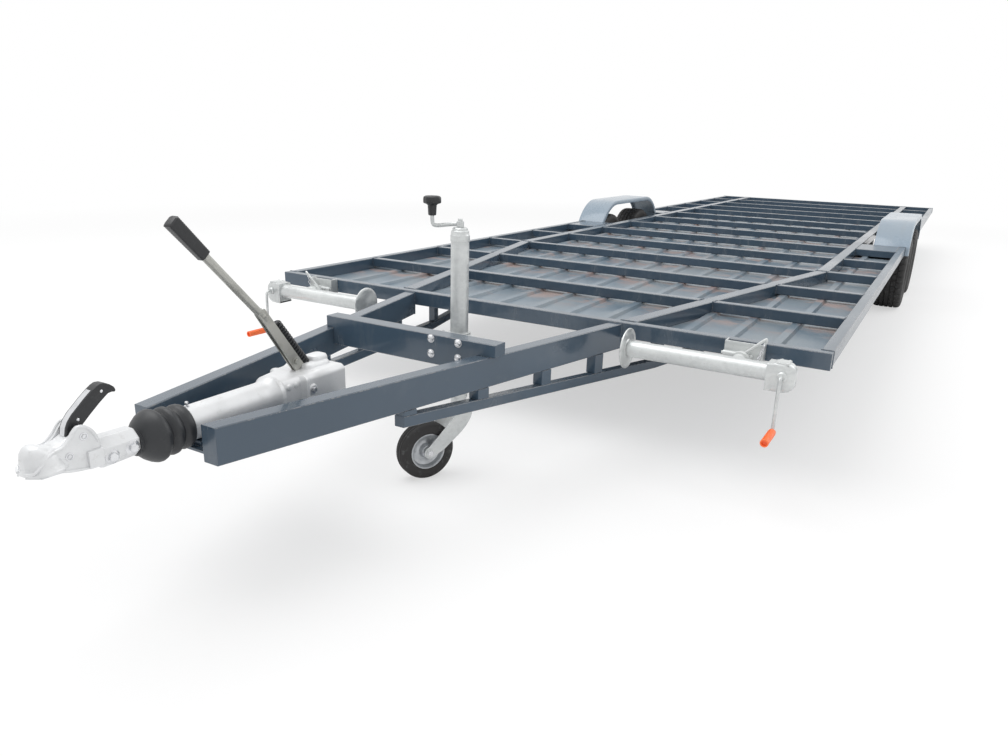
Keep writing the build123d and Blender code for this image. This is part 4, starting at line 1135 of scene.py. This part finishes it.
class TRAILER_OT_jockey_wheel(Operator):
    """Make the jockey wheel with its tube, crank, clamp, fork and wheel"""

    bl_idname = "trailer.jockey_wheel"
    bl_label = "Jockey wheel"

    def execute(self, context):
        corner = context.scene.trailer_sizes.plate_corner
        self.tube()
        self.crank()
        soften_node("jockey_clamp", "galvanised", corner)
        refinish("jockey_inner_tube", "galvanised")
        self.fork(corner)
        rim = Shape().lathe(HUB, AXLE_WAY, both_ways(JOCKEY_RIM_PROFILE), 56, loop=True)
        for turn in full_turn(RIM_RIVETS):
            spot = HUB + (TRAIL_WAY * cos(turn) + UP * sin(turn)) * 40 * MM
            for side in (-1, 1):
                rim.dome(spot + AXLE_WAY * side * 5 * MM, AXLE_WAY * side, 3.2 * MM, 1.6 * MM, 12)
        rim.finish("jockey_rim_pressed", body_of("jockey_rim"), "rim_silver", ["jockey_rim"])
        tyre = Shape().lathe(HUB, AXLE_WAY, both_ways(JOCKEY_TYRE_PROFILE), 72, loop=True)
        tyre.finish("jockey_tyre_ribbed", body_of("jockey_tyre"), "tyre", ["jockey_tyre"])
        return {"FINISHED"}

    def tube(self):
        radius = high("jockey_outer_tube").x - JOCKEY.x
        foot = low("jockey_outer_tube").z
        top = high("jockey_outer_tube").z
        inner = radius - 3 * MM
        collar = radius + 1.6 * MM
        collars = ((38, radius), (37, collar), (18, collar), (16, radius), (5, radius - MM),
                   (0, radius - 6 * MM), (0, inner - 4 * MM))  # under the top, radius
        profile = [(0, inner), (0, radius - MM), (MM, radius)]
        profile += [(top - foot - drop * MM, wide) for drop, wide in collars]
        tube = Shape().lathe((JOCKEY.x, JOCKEY.y, foot), UP, profile, 56, loop=True)
        body = body_of("jockey_outer_tube")
        tube.finish("jockey_tube", body, "galvanised", ["jockey_outer_tube"])

    def crank(self):
        body = body_of("jockey_crank")
        end = Vector((JOCKEY.x + 26 * MM, JOCKEY.y - 92 * MM, 0))
        centre = Vector((JOCKEY.x, JOCKEY.y, 0))
        steel = Shape().lathe(centre, UP, [(over_deck(z), r * MM) for z, r in CRANK_CAP], 40)
        steel.bolt(centre + UP * over_deck(386), UP, 8 * MM, 9 * MM)
        arm = [centre.lerp(end, done) + UP * over_deck(z) for done, z in CRANK_ARM]
        steel.sweep(smooth_path(arm), 6.5 * MM, 16)
        steel.lathe(centre + UP * over_deck(371), UP, metres(((0, 12), (15, 12))), 32)
        steel.finish("jockey_crank_steel", body, "galvanised", ["jockey_crank"])
        steps = 64
        rings = []
        for z, radius in KNOB_PROFILE:
            lobe = 0.9 if radius > 25 else 0.25
            turns = full_turn(steps)
            radii = [(radius + lobe * cos(KNOB_LOBES * turn)) * MM for turn in turns]
            rings.append([end + Vector((r * cos(turn), r * sin(turn), over_deck(z)))
                          for turn, r in zip(turns, radii)])
        Shape().skin(rings).finish("jockey_crank_knob", body, "black_plastic")

    def in_fork_plane(self, points):
        """Places of (behind the pivot, over the crown) pairs in the castor's turned plane."""
        return [CROWN + TRAIL_WAY * reach * MM + UP * rise * MM for reach, rise in points]

    def fork(self, corner):
        body = body_of("jockey_fork")
        nose = arc((HUB_REACH, HUB_DROP), FORK_EYE, 80, -110, 12)
        outline = smooth_path(self.in_fork_plane(FORK_UPPER), 4)
        outline += self.in_fork_plane(nose)
        outline += smooth_path(self.in_fork_plane(FORK_LOWER), 4)
        fork = Shape()
        for side in (-1, 1):
            out = AXLE_WAY * side
            fork.slab([point + out * 36 * MM for point in outline], out * 5 * MM)
            fork.lathe(HUB + out * 41 * MM, out, metres(((0, 15), (2, 15))), 28)
        plate = [CROWN + TRAIL_WAY * reach * MM + AXLE_WAY * wide * MM - UP * MM
                 for reach, wide in ((-32, -41), (31, -41), (31, 41), (-32, 41))]
        fork.slab(plate, UP * -5 * MM)
        fork.lathe(CROWN - UP * 16 * MM, UP, metres(((0, 22), (12, 26))), 36)
        fork.finish("jockey_fork_plates", body, "galvanised", ["jockey_fork"], corner)
        pin = Shape()
        for side in (-1, 1):
            out = AXLE_WAY * side
            seat = HUB + out * 43 * MM
            pin.lathe(seat, out, metres(((0, 11), (4, 11))), 6)
            pin.lathe(seat, out, metres(AXLE_NUT), 24)
        pin.finish("jockey_axle_bolt", body, "bright_steel", (), 0.6 * MM)


# ---------------------------------------------------------------- steadies
FOOT_DISH = (  # out from the foot's face, radius
    (0, 56), (0, 68), (2, 72), (6, 72), (7, 70), (4, 66), (4, 34), (6, 31), (8, 28), (8, 25.5),
    (6, 24), (1, 20),
)
HEAD_LENGTH = 88 * MM
HEAD_DROP = 8
HEAD_BLOCKS = (  # out along the leg, half width, half height, corner
    (0, 35, 44, 5), (18, 35, 44, 5), (20, 34, 46, 8), (26, 34, 48, 12), (58, 34, 48, 16),
    (72, 32, 45, 20), (82, 28, 38, 20), (88, 20, 28, 16),
)
CATCH_BAR = (  # ahead, outwards and up from the pivot's pin
    (0, -2, 0), (6, 12, 12), (8, 66, 62), (4, 74, 64), (0, 72, 54),
)
GRIP_RIBS = 8
CHAIN_LINKS = 8


def beside(origin, out, x, y, z):
    """A place this many millimetres ahead, outwards and up from the origin."""
    return origin + (AHEAD * x + out * y + UP * z) * MM


class TRAILER_OT_steadies(Operator):
    """Make the two swing-up steadies with foot, tube, head, crank, bracket and catch"""

    bl_idname = "trailer.steadies"
    bl_label = "Steadies"

    def execute(self, context):
        corner = context.scene.trailer_sizes.plate_corner
        for name, side in SIDES.items():
            leg = frame["nodes"][f"steady_leg_{name}"]["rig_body"]
            out = LEFT * side
            foot_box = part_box(f"steady_foot_{name}")
            axis = Vector((middle(f"steady_foot_{name}").x, 0, middle(f"steady_foot_{name}").z))
            foot_y = min(abs(foot_box[0].y), abs(foot_box[1].y))
            head_end = max(abs(low(f"steady_leg_{name}").y), abs(high(f"steady_leg_{name}").y))
            self.foot(name, leg, axis + out * foot_y, out, corner)
            self.leg(name, leg, axis, out, foot_y, head_end, corner)
            self.crank(name, leg, axis, out, head_end, corner)
            self.bracket(name, side, corner)
        return {"FINISHED"}

    def foot(self, name, body, centre, out, corner):
        foot = Shape().lathe(centre, out, metres(FOOT_DISH), 64)
        foot.tube(centre + out * 6 * MM, centre + out * 60 * MM, 25.5 * MM)
        foot.lathe(centre, -out, metres(((-1, 18), (0, 18), (0.2, 16))), 32)
        foot.finish(f"steady_foot_{name}_dish", body, "galvanised", [f"steady_foot_{name}"], corner)

    def leg(self, name, body, axis, out, foot_y, head_end, corner):
        head = head_end - HEAD_LENGTH
        start = axis + out * (foot_y + 12 * MM)
        run = head - foot_y - 10 * MM
        profile = [(0, 26), (0, 29.5), (0.6, 30), (run / MM, 30), (run / MM, 26)]
        leg = Shape().lathe(start, out, metres(profile), 56, loop=True)
        boss_y = abs(middle(f"steady_bracket_{name}").y)
        back = Vector((low(f"steady_leg_{name}").x, 0, axis.z)) + out * boss_y
        leg.tube(back, Vector((axis.x - 20 * MM, back.y, axis.z)), 25 * MM, 12.2 * MM)
        leg.tube(back + AHEAD * 30 * MM, back + AHEAD * 46 * MM, 31 * MM, 12.2 * MM)
        start = axis + out * head
        rings = [
            rounded_ring(beside(start, out, 0, step, -HEAD_DROP), AHEAD, UP,
                         wide * MM, tall * MM, edge * MM)
            for step, wide, tall, edge in HEAD_BLOCKS
        ]
        leg.skin(rings)
        leg.block(beside(start, out, -36, 0, -53), beside(start, out, 36, 20, -47))
        leg.block(beside(start, out, -28, 28, 37), beside(start, out, 28, 66, 41))
        for step in (36, 60):
            for x in (-22, 22):
                leg.dome(beside(start, out, x, step, 41), UP, 4.4 * MM, 3 * MM, 14)
        leg.finish(f"steady_leg_{name}_tube", body, "galvanised", [f"steady_leg_{name}"], corner)

    def crank(self, name, body, axis, out, head_end, corner):
        node = f"steady_crank_{name}"
        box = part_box(node)
        shaft = axis + out * (head_end - 37 * MM)
        shaft.z = box[1].z - 7 * MM
        face = axis.x + 34 * MM
        arm_x = face + 31 * MM
        foot_z = box[0].z + 12 * MM
        steel = Shape().lathe((face - 4 * MM, shaft.y, shaft.z), AHEAD,
                              metres(((0, 17), (9, 16), (13, 12.5), (17, 12))), 32)
        path = [
            (face, shaft.z), (face + 18 * MM, shaft.z), (arm_x - 4 * MM, shaft.z - 4 * MM),
            (arm_x, shaft.z - 20 * MM), (arm_x + 2 * MM, shaft.z - 90 * MM),
            (arm_x + 3 * MM, foot_z + 16 * MM), (arm_x + 8 * MM, foot_z + 3 * MM),
            (arm_x + 20 * MM, foot_z), (arm_x + 80 * MM, foot_z),
        ]
        steel.sweep(smooth_path([(x, shaft.y, z) for x, z in path], 8), 6 * MM, 16)
        steel.finish(f"steady_crank_{name}_rod", body, "galvanised", [node], corner)
        ends = [(arm_x + 6 * MM, 9), (arm_x + 7 * MM, 12), (arm_x + 12 * MM, 12.6),
                (arm_x + 60 * MM, 12), (box[1].x - 5 * MM, 13.2), (box[1].x - MM, 13.4),
                (box[1].x, 12.6), (box[1].x, 9),
                (box[1].x - 8 * MM, 8.6)]
        grip = Shape().lathe((0, shaft.y, foot_z), AHEAD, [(x, r * MM) for x, r in ends], 40)
        for turn in full_turn(GRIP_RIBS):
            spoke = Vector((0, cos(turn), sin(turn))) * 12 * MM
            spot = Vector((0, shaft.y, foot_z)) + spoke
            rib_start, rib_end = arm_x + 24 * MM, box[1].x - 12 * MM
            grip.tube(spot + AHEAD * rib_start, spot + AHEAD * rib_end, 1.6 * MM, 0, 10)
        grip.finish(f"steady_crank_{name}_grip", body, "orange_plastic")

    def bracket(self, name, side, corner):
        node = f"steady_bracket_{name}"
        soften_node(node, "galvanised", corner)
        out = LEFT * side
        face = low(f"steady_leg_{name}").x - 5 * MM
        pivot_y = abs(middle(node).y)
        pin = Vector((face + 12 * MM, 0, over_deck(-38))) + out * pivot_y
        catch = Shape()
        catch.tube(beside(pin, out, 0, -66, 0), beside(pin, out, 0, 22, 0), 9 * MM)
        catch.tube(beside(pin, out, 0, -72, 0), beside(pin, out, 0, 34, 0), 5 * MM, 0, 20)
        catch.sweep(smooth_path([beside(pin, out, *offset) for offset in CATCH_BAR]), 5 * MM, 12)
        catch.tube(beside(pin, out, 0, 26, -34), beside(pin, out, 0, 26, 0), 7 * MM, 0, 24)
        catch.finish(f"steady_catch_{name}", "frame", "galvanised", (), 0.6 * MM)
        self.chain(name, beside(pin, out, 0, 70, 56), beside(pin, out, 3, 40, -36))

    def chain(self, name, top, end):
        """Links that turn a quarter from one to the next, on a slack line."""
        chain = Shape()
        for index in range(CHAIN_LINKS):
            done = (index + 0.5) / CHAIN_LINKS
            centre = top.lerp(end, done) + Vector((0, 0, -10 * MM * sin(pi * done)))
            way = (end - top).normalized()
            wide = way.orthogonal() if index % 2 else way.cross(way.orthogonal())
            wide.normalize()
            path = [centre + way * 7 * MM * cos(turn) + wide * 3.8 * MM * sin(turn)
                    for turn in full_turn(16)]
            chain.sweep(path, 1.8 * MM, 6, loop=True)
        chain.finish(f"steady_chain_{name}", "frame", "bright_steel")


# ---------------------------------------------------------------- running gear
TREAD_PROFILE = (  # out from the tyre's middle, radius, how much a cross groove cuts here
    (76, 164, 0), (84, 169, 0), (91, 180, 0), (95.5, 196, 0), (97.2, 206, 0), (96, 208, 0),
    (97.4, 211, 0), (96.5, 226, 0), (93.5, 240, 0), (89, 250, 0.5), (82, 256.5, 1), (70, 260.3, 1),
    (52, 261.8, 1), (51, 254.5, 0), (45, 254.5, 0), (44, 262.2, -1), (20, 262.5, -1), (19, 255, 0),
    (13, 255, 0), (12, 262.5, 0), (0.5, 262.5, 0),
)
RIM_WELL = (  # out from the wheel's middle, radius
    (76, 165), (78, 172), (76, 174), (73, 168), (72, 158), (60, 153), (44, 150), (20, 140),
    (-30, 140), (-55, 150), (-72, 156), (-74, 172), (-77, 174), (-78, 166), (-76, 164.5),
    (-50, 156), (-32, 147), (20, 147), (46, 158), (60, 163),
)
RIM_DISC = (  # as the well's
    (30, 30), (30, 74), (36, 82), (39, 92), (38, 101), (32, 101), (33, 92), (30, 84), (24, 76),
    (24, 30),
)
RIM_EDGE = ((38, 126), (36, 134), (28, 144), (20, 144), (20, 138), (29, 130), (31, 126))
SPOKE_CORNERS = ((38, 99), (38, 128), (32, 128), (32, 99))
SPOKES = 10
SPOKE_WIDTH = radians(21)
HUB_CAP = ((30, 33), (48, 33), (50, 32), (51, 29), (66, 28), (72, 25), (76, 18), (77, 6))
BOLT_CIRCLE = 56 * MM
DRUM_PROFILE = (  # out from the drum's back, radius
    (0, 60), (0, 112), (3, 118), (16, 118), (18, 121), (24, 121), (26, 118), (54, 118), (58, 112),
    (59, 62), (66, 58), (96, 58),
)
TREAD_STEPS = 180
CROSS_GROOVE_EVERY = 5


class TRAILER_OT_road_wheels(Operator):
    """Make the four road wheels: treaded tyre, pressed rim, bolts, cap and brake drum"""

    bl_idname = "trailer.road_wheels"
    bl_label = "Road wheels"

    def execute(self, context):
        sizes = context.scene.trailer_sizes
        for axle in ("front", "rear"):
            for name, side in SIDES.items():
                spot = f"{axle}_{name}"
                self.tyre(spot, sizes.tread_depth)
                self.rim(spot, side, sizes.wheel_bolts)
        return {"FINISHED"}

    def tyre(self, spot, depth):
        node = f"tyre_{spot}"
        centre = middle(node)
        half = [(out * MM, radius * MM, cut) for out, radius, cut in TREAD_PROFILE]
        section = half + [(-out, radius, cut) for out, radius, cut in reversed(half)]
        rings = []
        for step, turn in enumerate(full_turn(TREAD_STEPS)):
            spoke = side_spoke(turn)
            phase = step % CROSS_GROOVE_EVERY
            ring = []
            for out, radius, cut in section:
                grooved = (cut > 0 and phase == 0) or (cut < 0 and phase == 2)
                sunk = depth * abs(cut) if grooved else 0
                ring.append(centre + LEFT * out + spoke * (radius - sunk))
            rings.append(ring)
        tyre = Shape().skin(rings, loop=True)
        tyre.finish(f"{node}_tread", body_of(node), "tyre", [node])

    def rim(self, spot, side, bolt_count):
        node = f"rim_{spot}"
        out = LEFT * side
        centre = middle(f"tyre_{spot}")
        rim = Shape()
        for profile in (RIM_WELL, RIM_DISC, RIM_EDGE):
            rim.lathe(centre, out, metres(profile), 72, loop=True)
        for middle_turn in full_turn(SPOKES):
            rings = []
            for step in range(7):
                turn = middle_turn + SPOKE_WIDTH * (step / 6 - 0.5)
                spoke = side_spoke(turn)
                rings.append([centre + out * run * MM + spoke * r * MM for run, r in SPOKE_CORNERS])
            rim.skin(rings)
        rim.finish(f"{node}_pressed", body_of(node), "rim_silver", [node], 0.8 * MM)
        self.hub(node, centre, out, bolt_count)

    def hub(self, node, centre, out, bolt_count):
        hub = Shape()
        hub.lathe(centre, out, metres(HUB_CAP), 40)
        for index in range(bolt_count):
            turn = tau * (index + 0.25) / bolt_count
            spot = centre + side_spoke(turn) * BOLT_CIRCLE + out * 30 * MM
            hub.lathe(spot, out, metres(((0, 13), (3, 12), (5, 9.5), (16, 9.5),
                                  (18, 8))), 6)
        hub.finish(f"{node}_bolts", body_of(node), "bright_steel", (), 0.6 * MM)
        drum = Shape()
        inner = low(node).y if out.y > 0 else high(node).y
        start = Vector((centre.x, inner, centre.z))
        drum.lathe(start, out, metres(DRUM_PROFILE), 56)
        drum.finish(f"{node}_drum", body_of(node), "axle_steel")


FENDER_SHEET = 3.5 * MM
FENDER_ROLL = 9 * MM
ARCH_RADIUS = 0.352
ARCH_STEPS = 18
ARCH_FOOT = 12 * MM  # the arch begins this much under the deck's top


class TRAILER_OT_fenders(Operator):
    """Roll the two tandem fenders with their turned lips"""

    bl_idname = "trailer.fenders"
    bl_label = "Fenders"

    def execute(self, context):
        lip = context.scene.trailer_sizes.fender_lip
        for name, side in SIDES.items():
            node = f"fender_{name}"
            start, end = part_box(node)
            inner, outer = (start.y, end.y) if side > 0 else (end.y, start.y)
            section = self.section(inner, outer, side, lip)
            rings = []
            for x, z, normal_x, normal_z in self.arch(start, end):
                rings.append(
                    [(x - normal_x * depth, y, z - normal_z * depth) for y, depth in section]
                )
            shell = Shape().skin(rings)
            shell.finish(f"{node}_shell", "frame", "fender_paint", [node], 1.4 * MM, 3)
        return {"FINISHED"}

    def section(self, inner, outer, side, lip):
        """(y, depth under the crown) round the sheet, whose corners are rolled."""
        sheet, roll = FENDER_SHEET, FENDER_ROLL
        outside = [(inner, lip), (inner, roll)]
        for step in range(1, 5):
            turn = pi / 2 * step / 4
            outside.append((inner + side * roll * (1 - cos(turn)), roll * (1 - sin(turn))))
        for step in range(5):
            turn = pi / 2 * step / 4
            outside.append((outer - side * roll * (1 - sin(turn)), roll * (1 - cos(turn))))
        outside.append((outer, lip))
        inside = [(outer - side * sheet, lip), (outer - side * sheet, roll),
                  (outer - side * roll, sheet), (inner + side * roll, sheet),
                  (inner + side * sheet, roll), (inner + side * sheet, lip)]
        return outside + inside

    def arch(self, start, end):
        """(x, z, normal) along the arch, from the front foot over the crown to the rear foot."""
        radius = ARCH_RADIUS
        crown = end.z
        centre_z = crown - radius
        reach = sqrt(radius**2 - (DECK_TOP - centre_z) ** 2)
        stations = [(end.x, start.z, 1, 0), (end.x, DECK_TOP - ARCH_FOOT, 1, 0)]
        first = asin((DECK_TOP - centre_z) / radius)
        quarters = ((end.x - reach, first), (start.x + reach, pi / 2))
        for centre_x, begin in quarters:
            for step in range(ARCH_STEPS + 1):
                turn = begin + (pi / 2 - first) * step / ARCH_STEPS
                x, z = centre_x + radius * cos(turn), centre_z + radius * sin(turn)
                stations.append((x, z, cos(turn), sin(turn)))
        return stations + [(start.x, DECK_TOP - ARCH_FOOT, -1, 0), (start.x, start.z, -1, 0)]


AXLE_BOLT_X = 55 * MM
AXLE_SEAT_DROP = 66 * MM


class TRAILER_OT_axles(Operator):
    """Finish the rubber-sprung axles and bolt them under the rails"""

    bl_idname = "trailer.axles"
    bl_label = "Axles"

    def execute(self, context):
        rail = middle("inner_rails")
        rail_y = high("inner_rails").y - 30 * MM
        for axle in ("front", "rear"):
            node = f"axle_{axle}"
            soften_node(node, "axle_steel", 3 * MM, 3)
            tube_x = high(node).x - 70 * MM
            bolts = Shape()
            for side in (-1, 1):
                for x in (-AXLE_BOLT_X, AXLE_BOLT_X):
                    seat = Vector((tube_x + x, side * rail_y, rail.z - 30 * MM))
                    bolts.bolt(seat - UP * AXLE_SEAT_DROP, -UP, 9 * MM, 8 * MM)
                    bolts.tube(seat - UP * AXLE_SEAT_DROP, seat, 6 * MM, 0, 20)
            bolts.finish(f"{node}_bolts", "frame", "bright_steel")
        return {"FINISHED"}


# ---------------------------------------------------------------- stage
LAMP_AIM = Vector((0.5, 0, 0.4))
LAMPS = {  # place, share of the key lamp's power
    "key_lamp": ((3.5, -2.5, 7.5), 1),
    "fill_lamp": ((-4.0, 5.5, 6.0), 0.55),
}


class TRAILER_OT_stage(Operator):
    """Set the floor, the soft lamps, the white surroundings and the camera"""

    bl_idname = "trailer.stage"
    bl_label = "Stage"

    def execute(self, context):
        stage = context.scene.trailer_stage
        self.floor(stage)
        self.surroundings(context, stage)
        for name, (place, power) in LAMPS.items():
            self.lamp(name, place, stage.key_power * power, stage.key_size)
        self.camera(context, stage)
        context.scene.view_settings.view_transform = "Standard"
        return {"FINISHED"}

    def floor(self, stage):
        reach = stage.floor_reach
        mesh = bmesh.new()
        corners = ((-reach, -reach), (reach, -reach), (reach, reach), (-reach, reach))
        mesh.faces.new([mesh.verts.new((x, y, 0)) for x, y in corners])
        floor = add_object("studio_floor", to_data(mesh, "studio_floor"))
        recipe = Recipe("studio_floor", 0.9, Base_Color=(0.86, 0.86, 0.86))
        seen = recipe.node("LightPath", output="Is Camera Ray")
        white = recipe.node("Emission", inputs={"Color": (1, 1, 1), "Strength": 1.0})
        distance = recipe.node(
            "VectorMath", {"operation": "LENGTH"}, {0: recipe.place}, output="Value"
        )
        far = recipe.step(distance, stage.floor_near, stage.floor_far)
        share = stage.floor_light + far * (1 - stage.floor_light)
        mixed = recipe.node("MixShader", inputs={0: seen * share, 2: white})
        recipe.tree.links.new(recipe.surface.outputs[0], mixed.socket.node.inputs[1])
        recipe.tree.links.new(mixed.socket, recipe.output.inputs[0])
        floor.data.materials.append(recipe.material)

    def surroundings(self, context, stage):
        world = bpy.data.worlds.new("white_room")
        context.scene.world = world
        nodes = Tree(world)
        rays = ("Is Camera Ray", "Is Glossy Ray", "Is Transmission Ray")
        most, *others = [nodes.node("LightPath", output=ray) for ray in rays]
        for ray in others:
            most = nodes.node("Math", {"operation": "MAXIMUM"}, {0: most, 1: ray})
        light = {"Value": most, "To Min": stage.ambient, "To Max": 1.0}
        strength = nodes.node("MapRange", inputs=light)
        white = nodes.node("Background", inputs={"Color": (1, 1, 1), "Strength": strength})
        output = nodes.tree.nodes.new("ShaderNodeOutputWorld")
        nodes.tree.links.new(white.socket, output.inputs["Surface"])

    def lamp(self, name, place, power, size):
        data = bpy.data.lights.new(name, "AREA")
        data.energy = power
        data.shape = "DISK"
        data.size = size
        lamp = add_object(name, data)
        lamp.location = place
        aim = LAMP_AIM - Vector(place)
        lamp.rotation_euler = aim.to_track_quat("-Z", "Y").to_euler()

    def camera(self, context, stage):
        data = bpy.data.cameras.new("camera")
        data.sensor_width = 36
        data.lens = stage.lens
        camera = add_object("camera", data)
        camera.location = stage.eye
        camera.rotation_euler = Euler(stage.eye_turn)
        context.scene.camera = camera


# ---------------------------------------------------------------- panel
OPERATORS = (
    TRAILER_OT_frame_tubes,
    TRAILER_OT_weld_beads,
    TRAILER_OT_floor,
    TRAILER_OT_drawbar_details,
    TRAILER_OT_overrun_housing,
    TRAILER_OT_bellows,
    TRAILER_OT_coupling_head,
    TRAILER_OT_coupling_handle,
    TRAILER_OT_handbrake,
    TRAILER_OT_jockey_wheel,
    TRAILER_OT_steadies,
    TRAILER_OT_road_wheels,
    TRAILER_OT_fenders,
    TRAILER_OT_axles,
    TRAILER_OT_stage,
)
SETTINGS = {
    "trailer_sizes": TrailerSizes,
    "trailer_finishes": TrailerFinishes,
    "trailer_stage": TrailerStage,
}


class TRAILER_PT_pieces(Panel):
    """Lists the trailer's settings and the operators that make its pieces"""

    bl_idname = "TRAILER_PT_pieces"
    bl_label = "Tiny house trailer"
    bl_space_type = "VIEW_3D"
    bl_region_type = "UI"
    bl_category = "Trailer"

    def draw(self, context):
        for name, group in SETTINGS.items():
            box = self.layout.box()
            for prop in group.__annotations__:
                box.prop(getattr(context.scene, name), prop)
        for operator in OPERATORS:
            self.layout.operator(operator.bl_idname)


CLASSES = (*SETTINGS.values(), *OPERATORS, TRAILER_PT_pieces)


def register():
    for made in CLASSES:
        bpy.utils.register_class(made)
    for name, group in SETTINGS.items():
        setattr(bpy.types.Scene, name, PointerProperty(type=group))


def unregister():
    for name in SETTINGS:
        delattr(bpy.types.Scene, name)
    for made in reversed(CLASSES):
        bpy.utils.unregister_class(made)


def main():
    register()
    for operator in OPERATORS:
        group, name = operator.bl_idname.split(".")
        getattr(getattr(bpy.ops, group), name)()


if __name__ == "__main__":
    main()
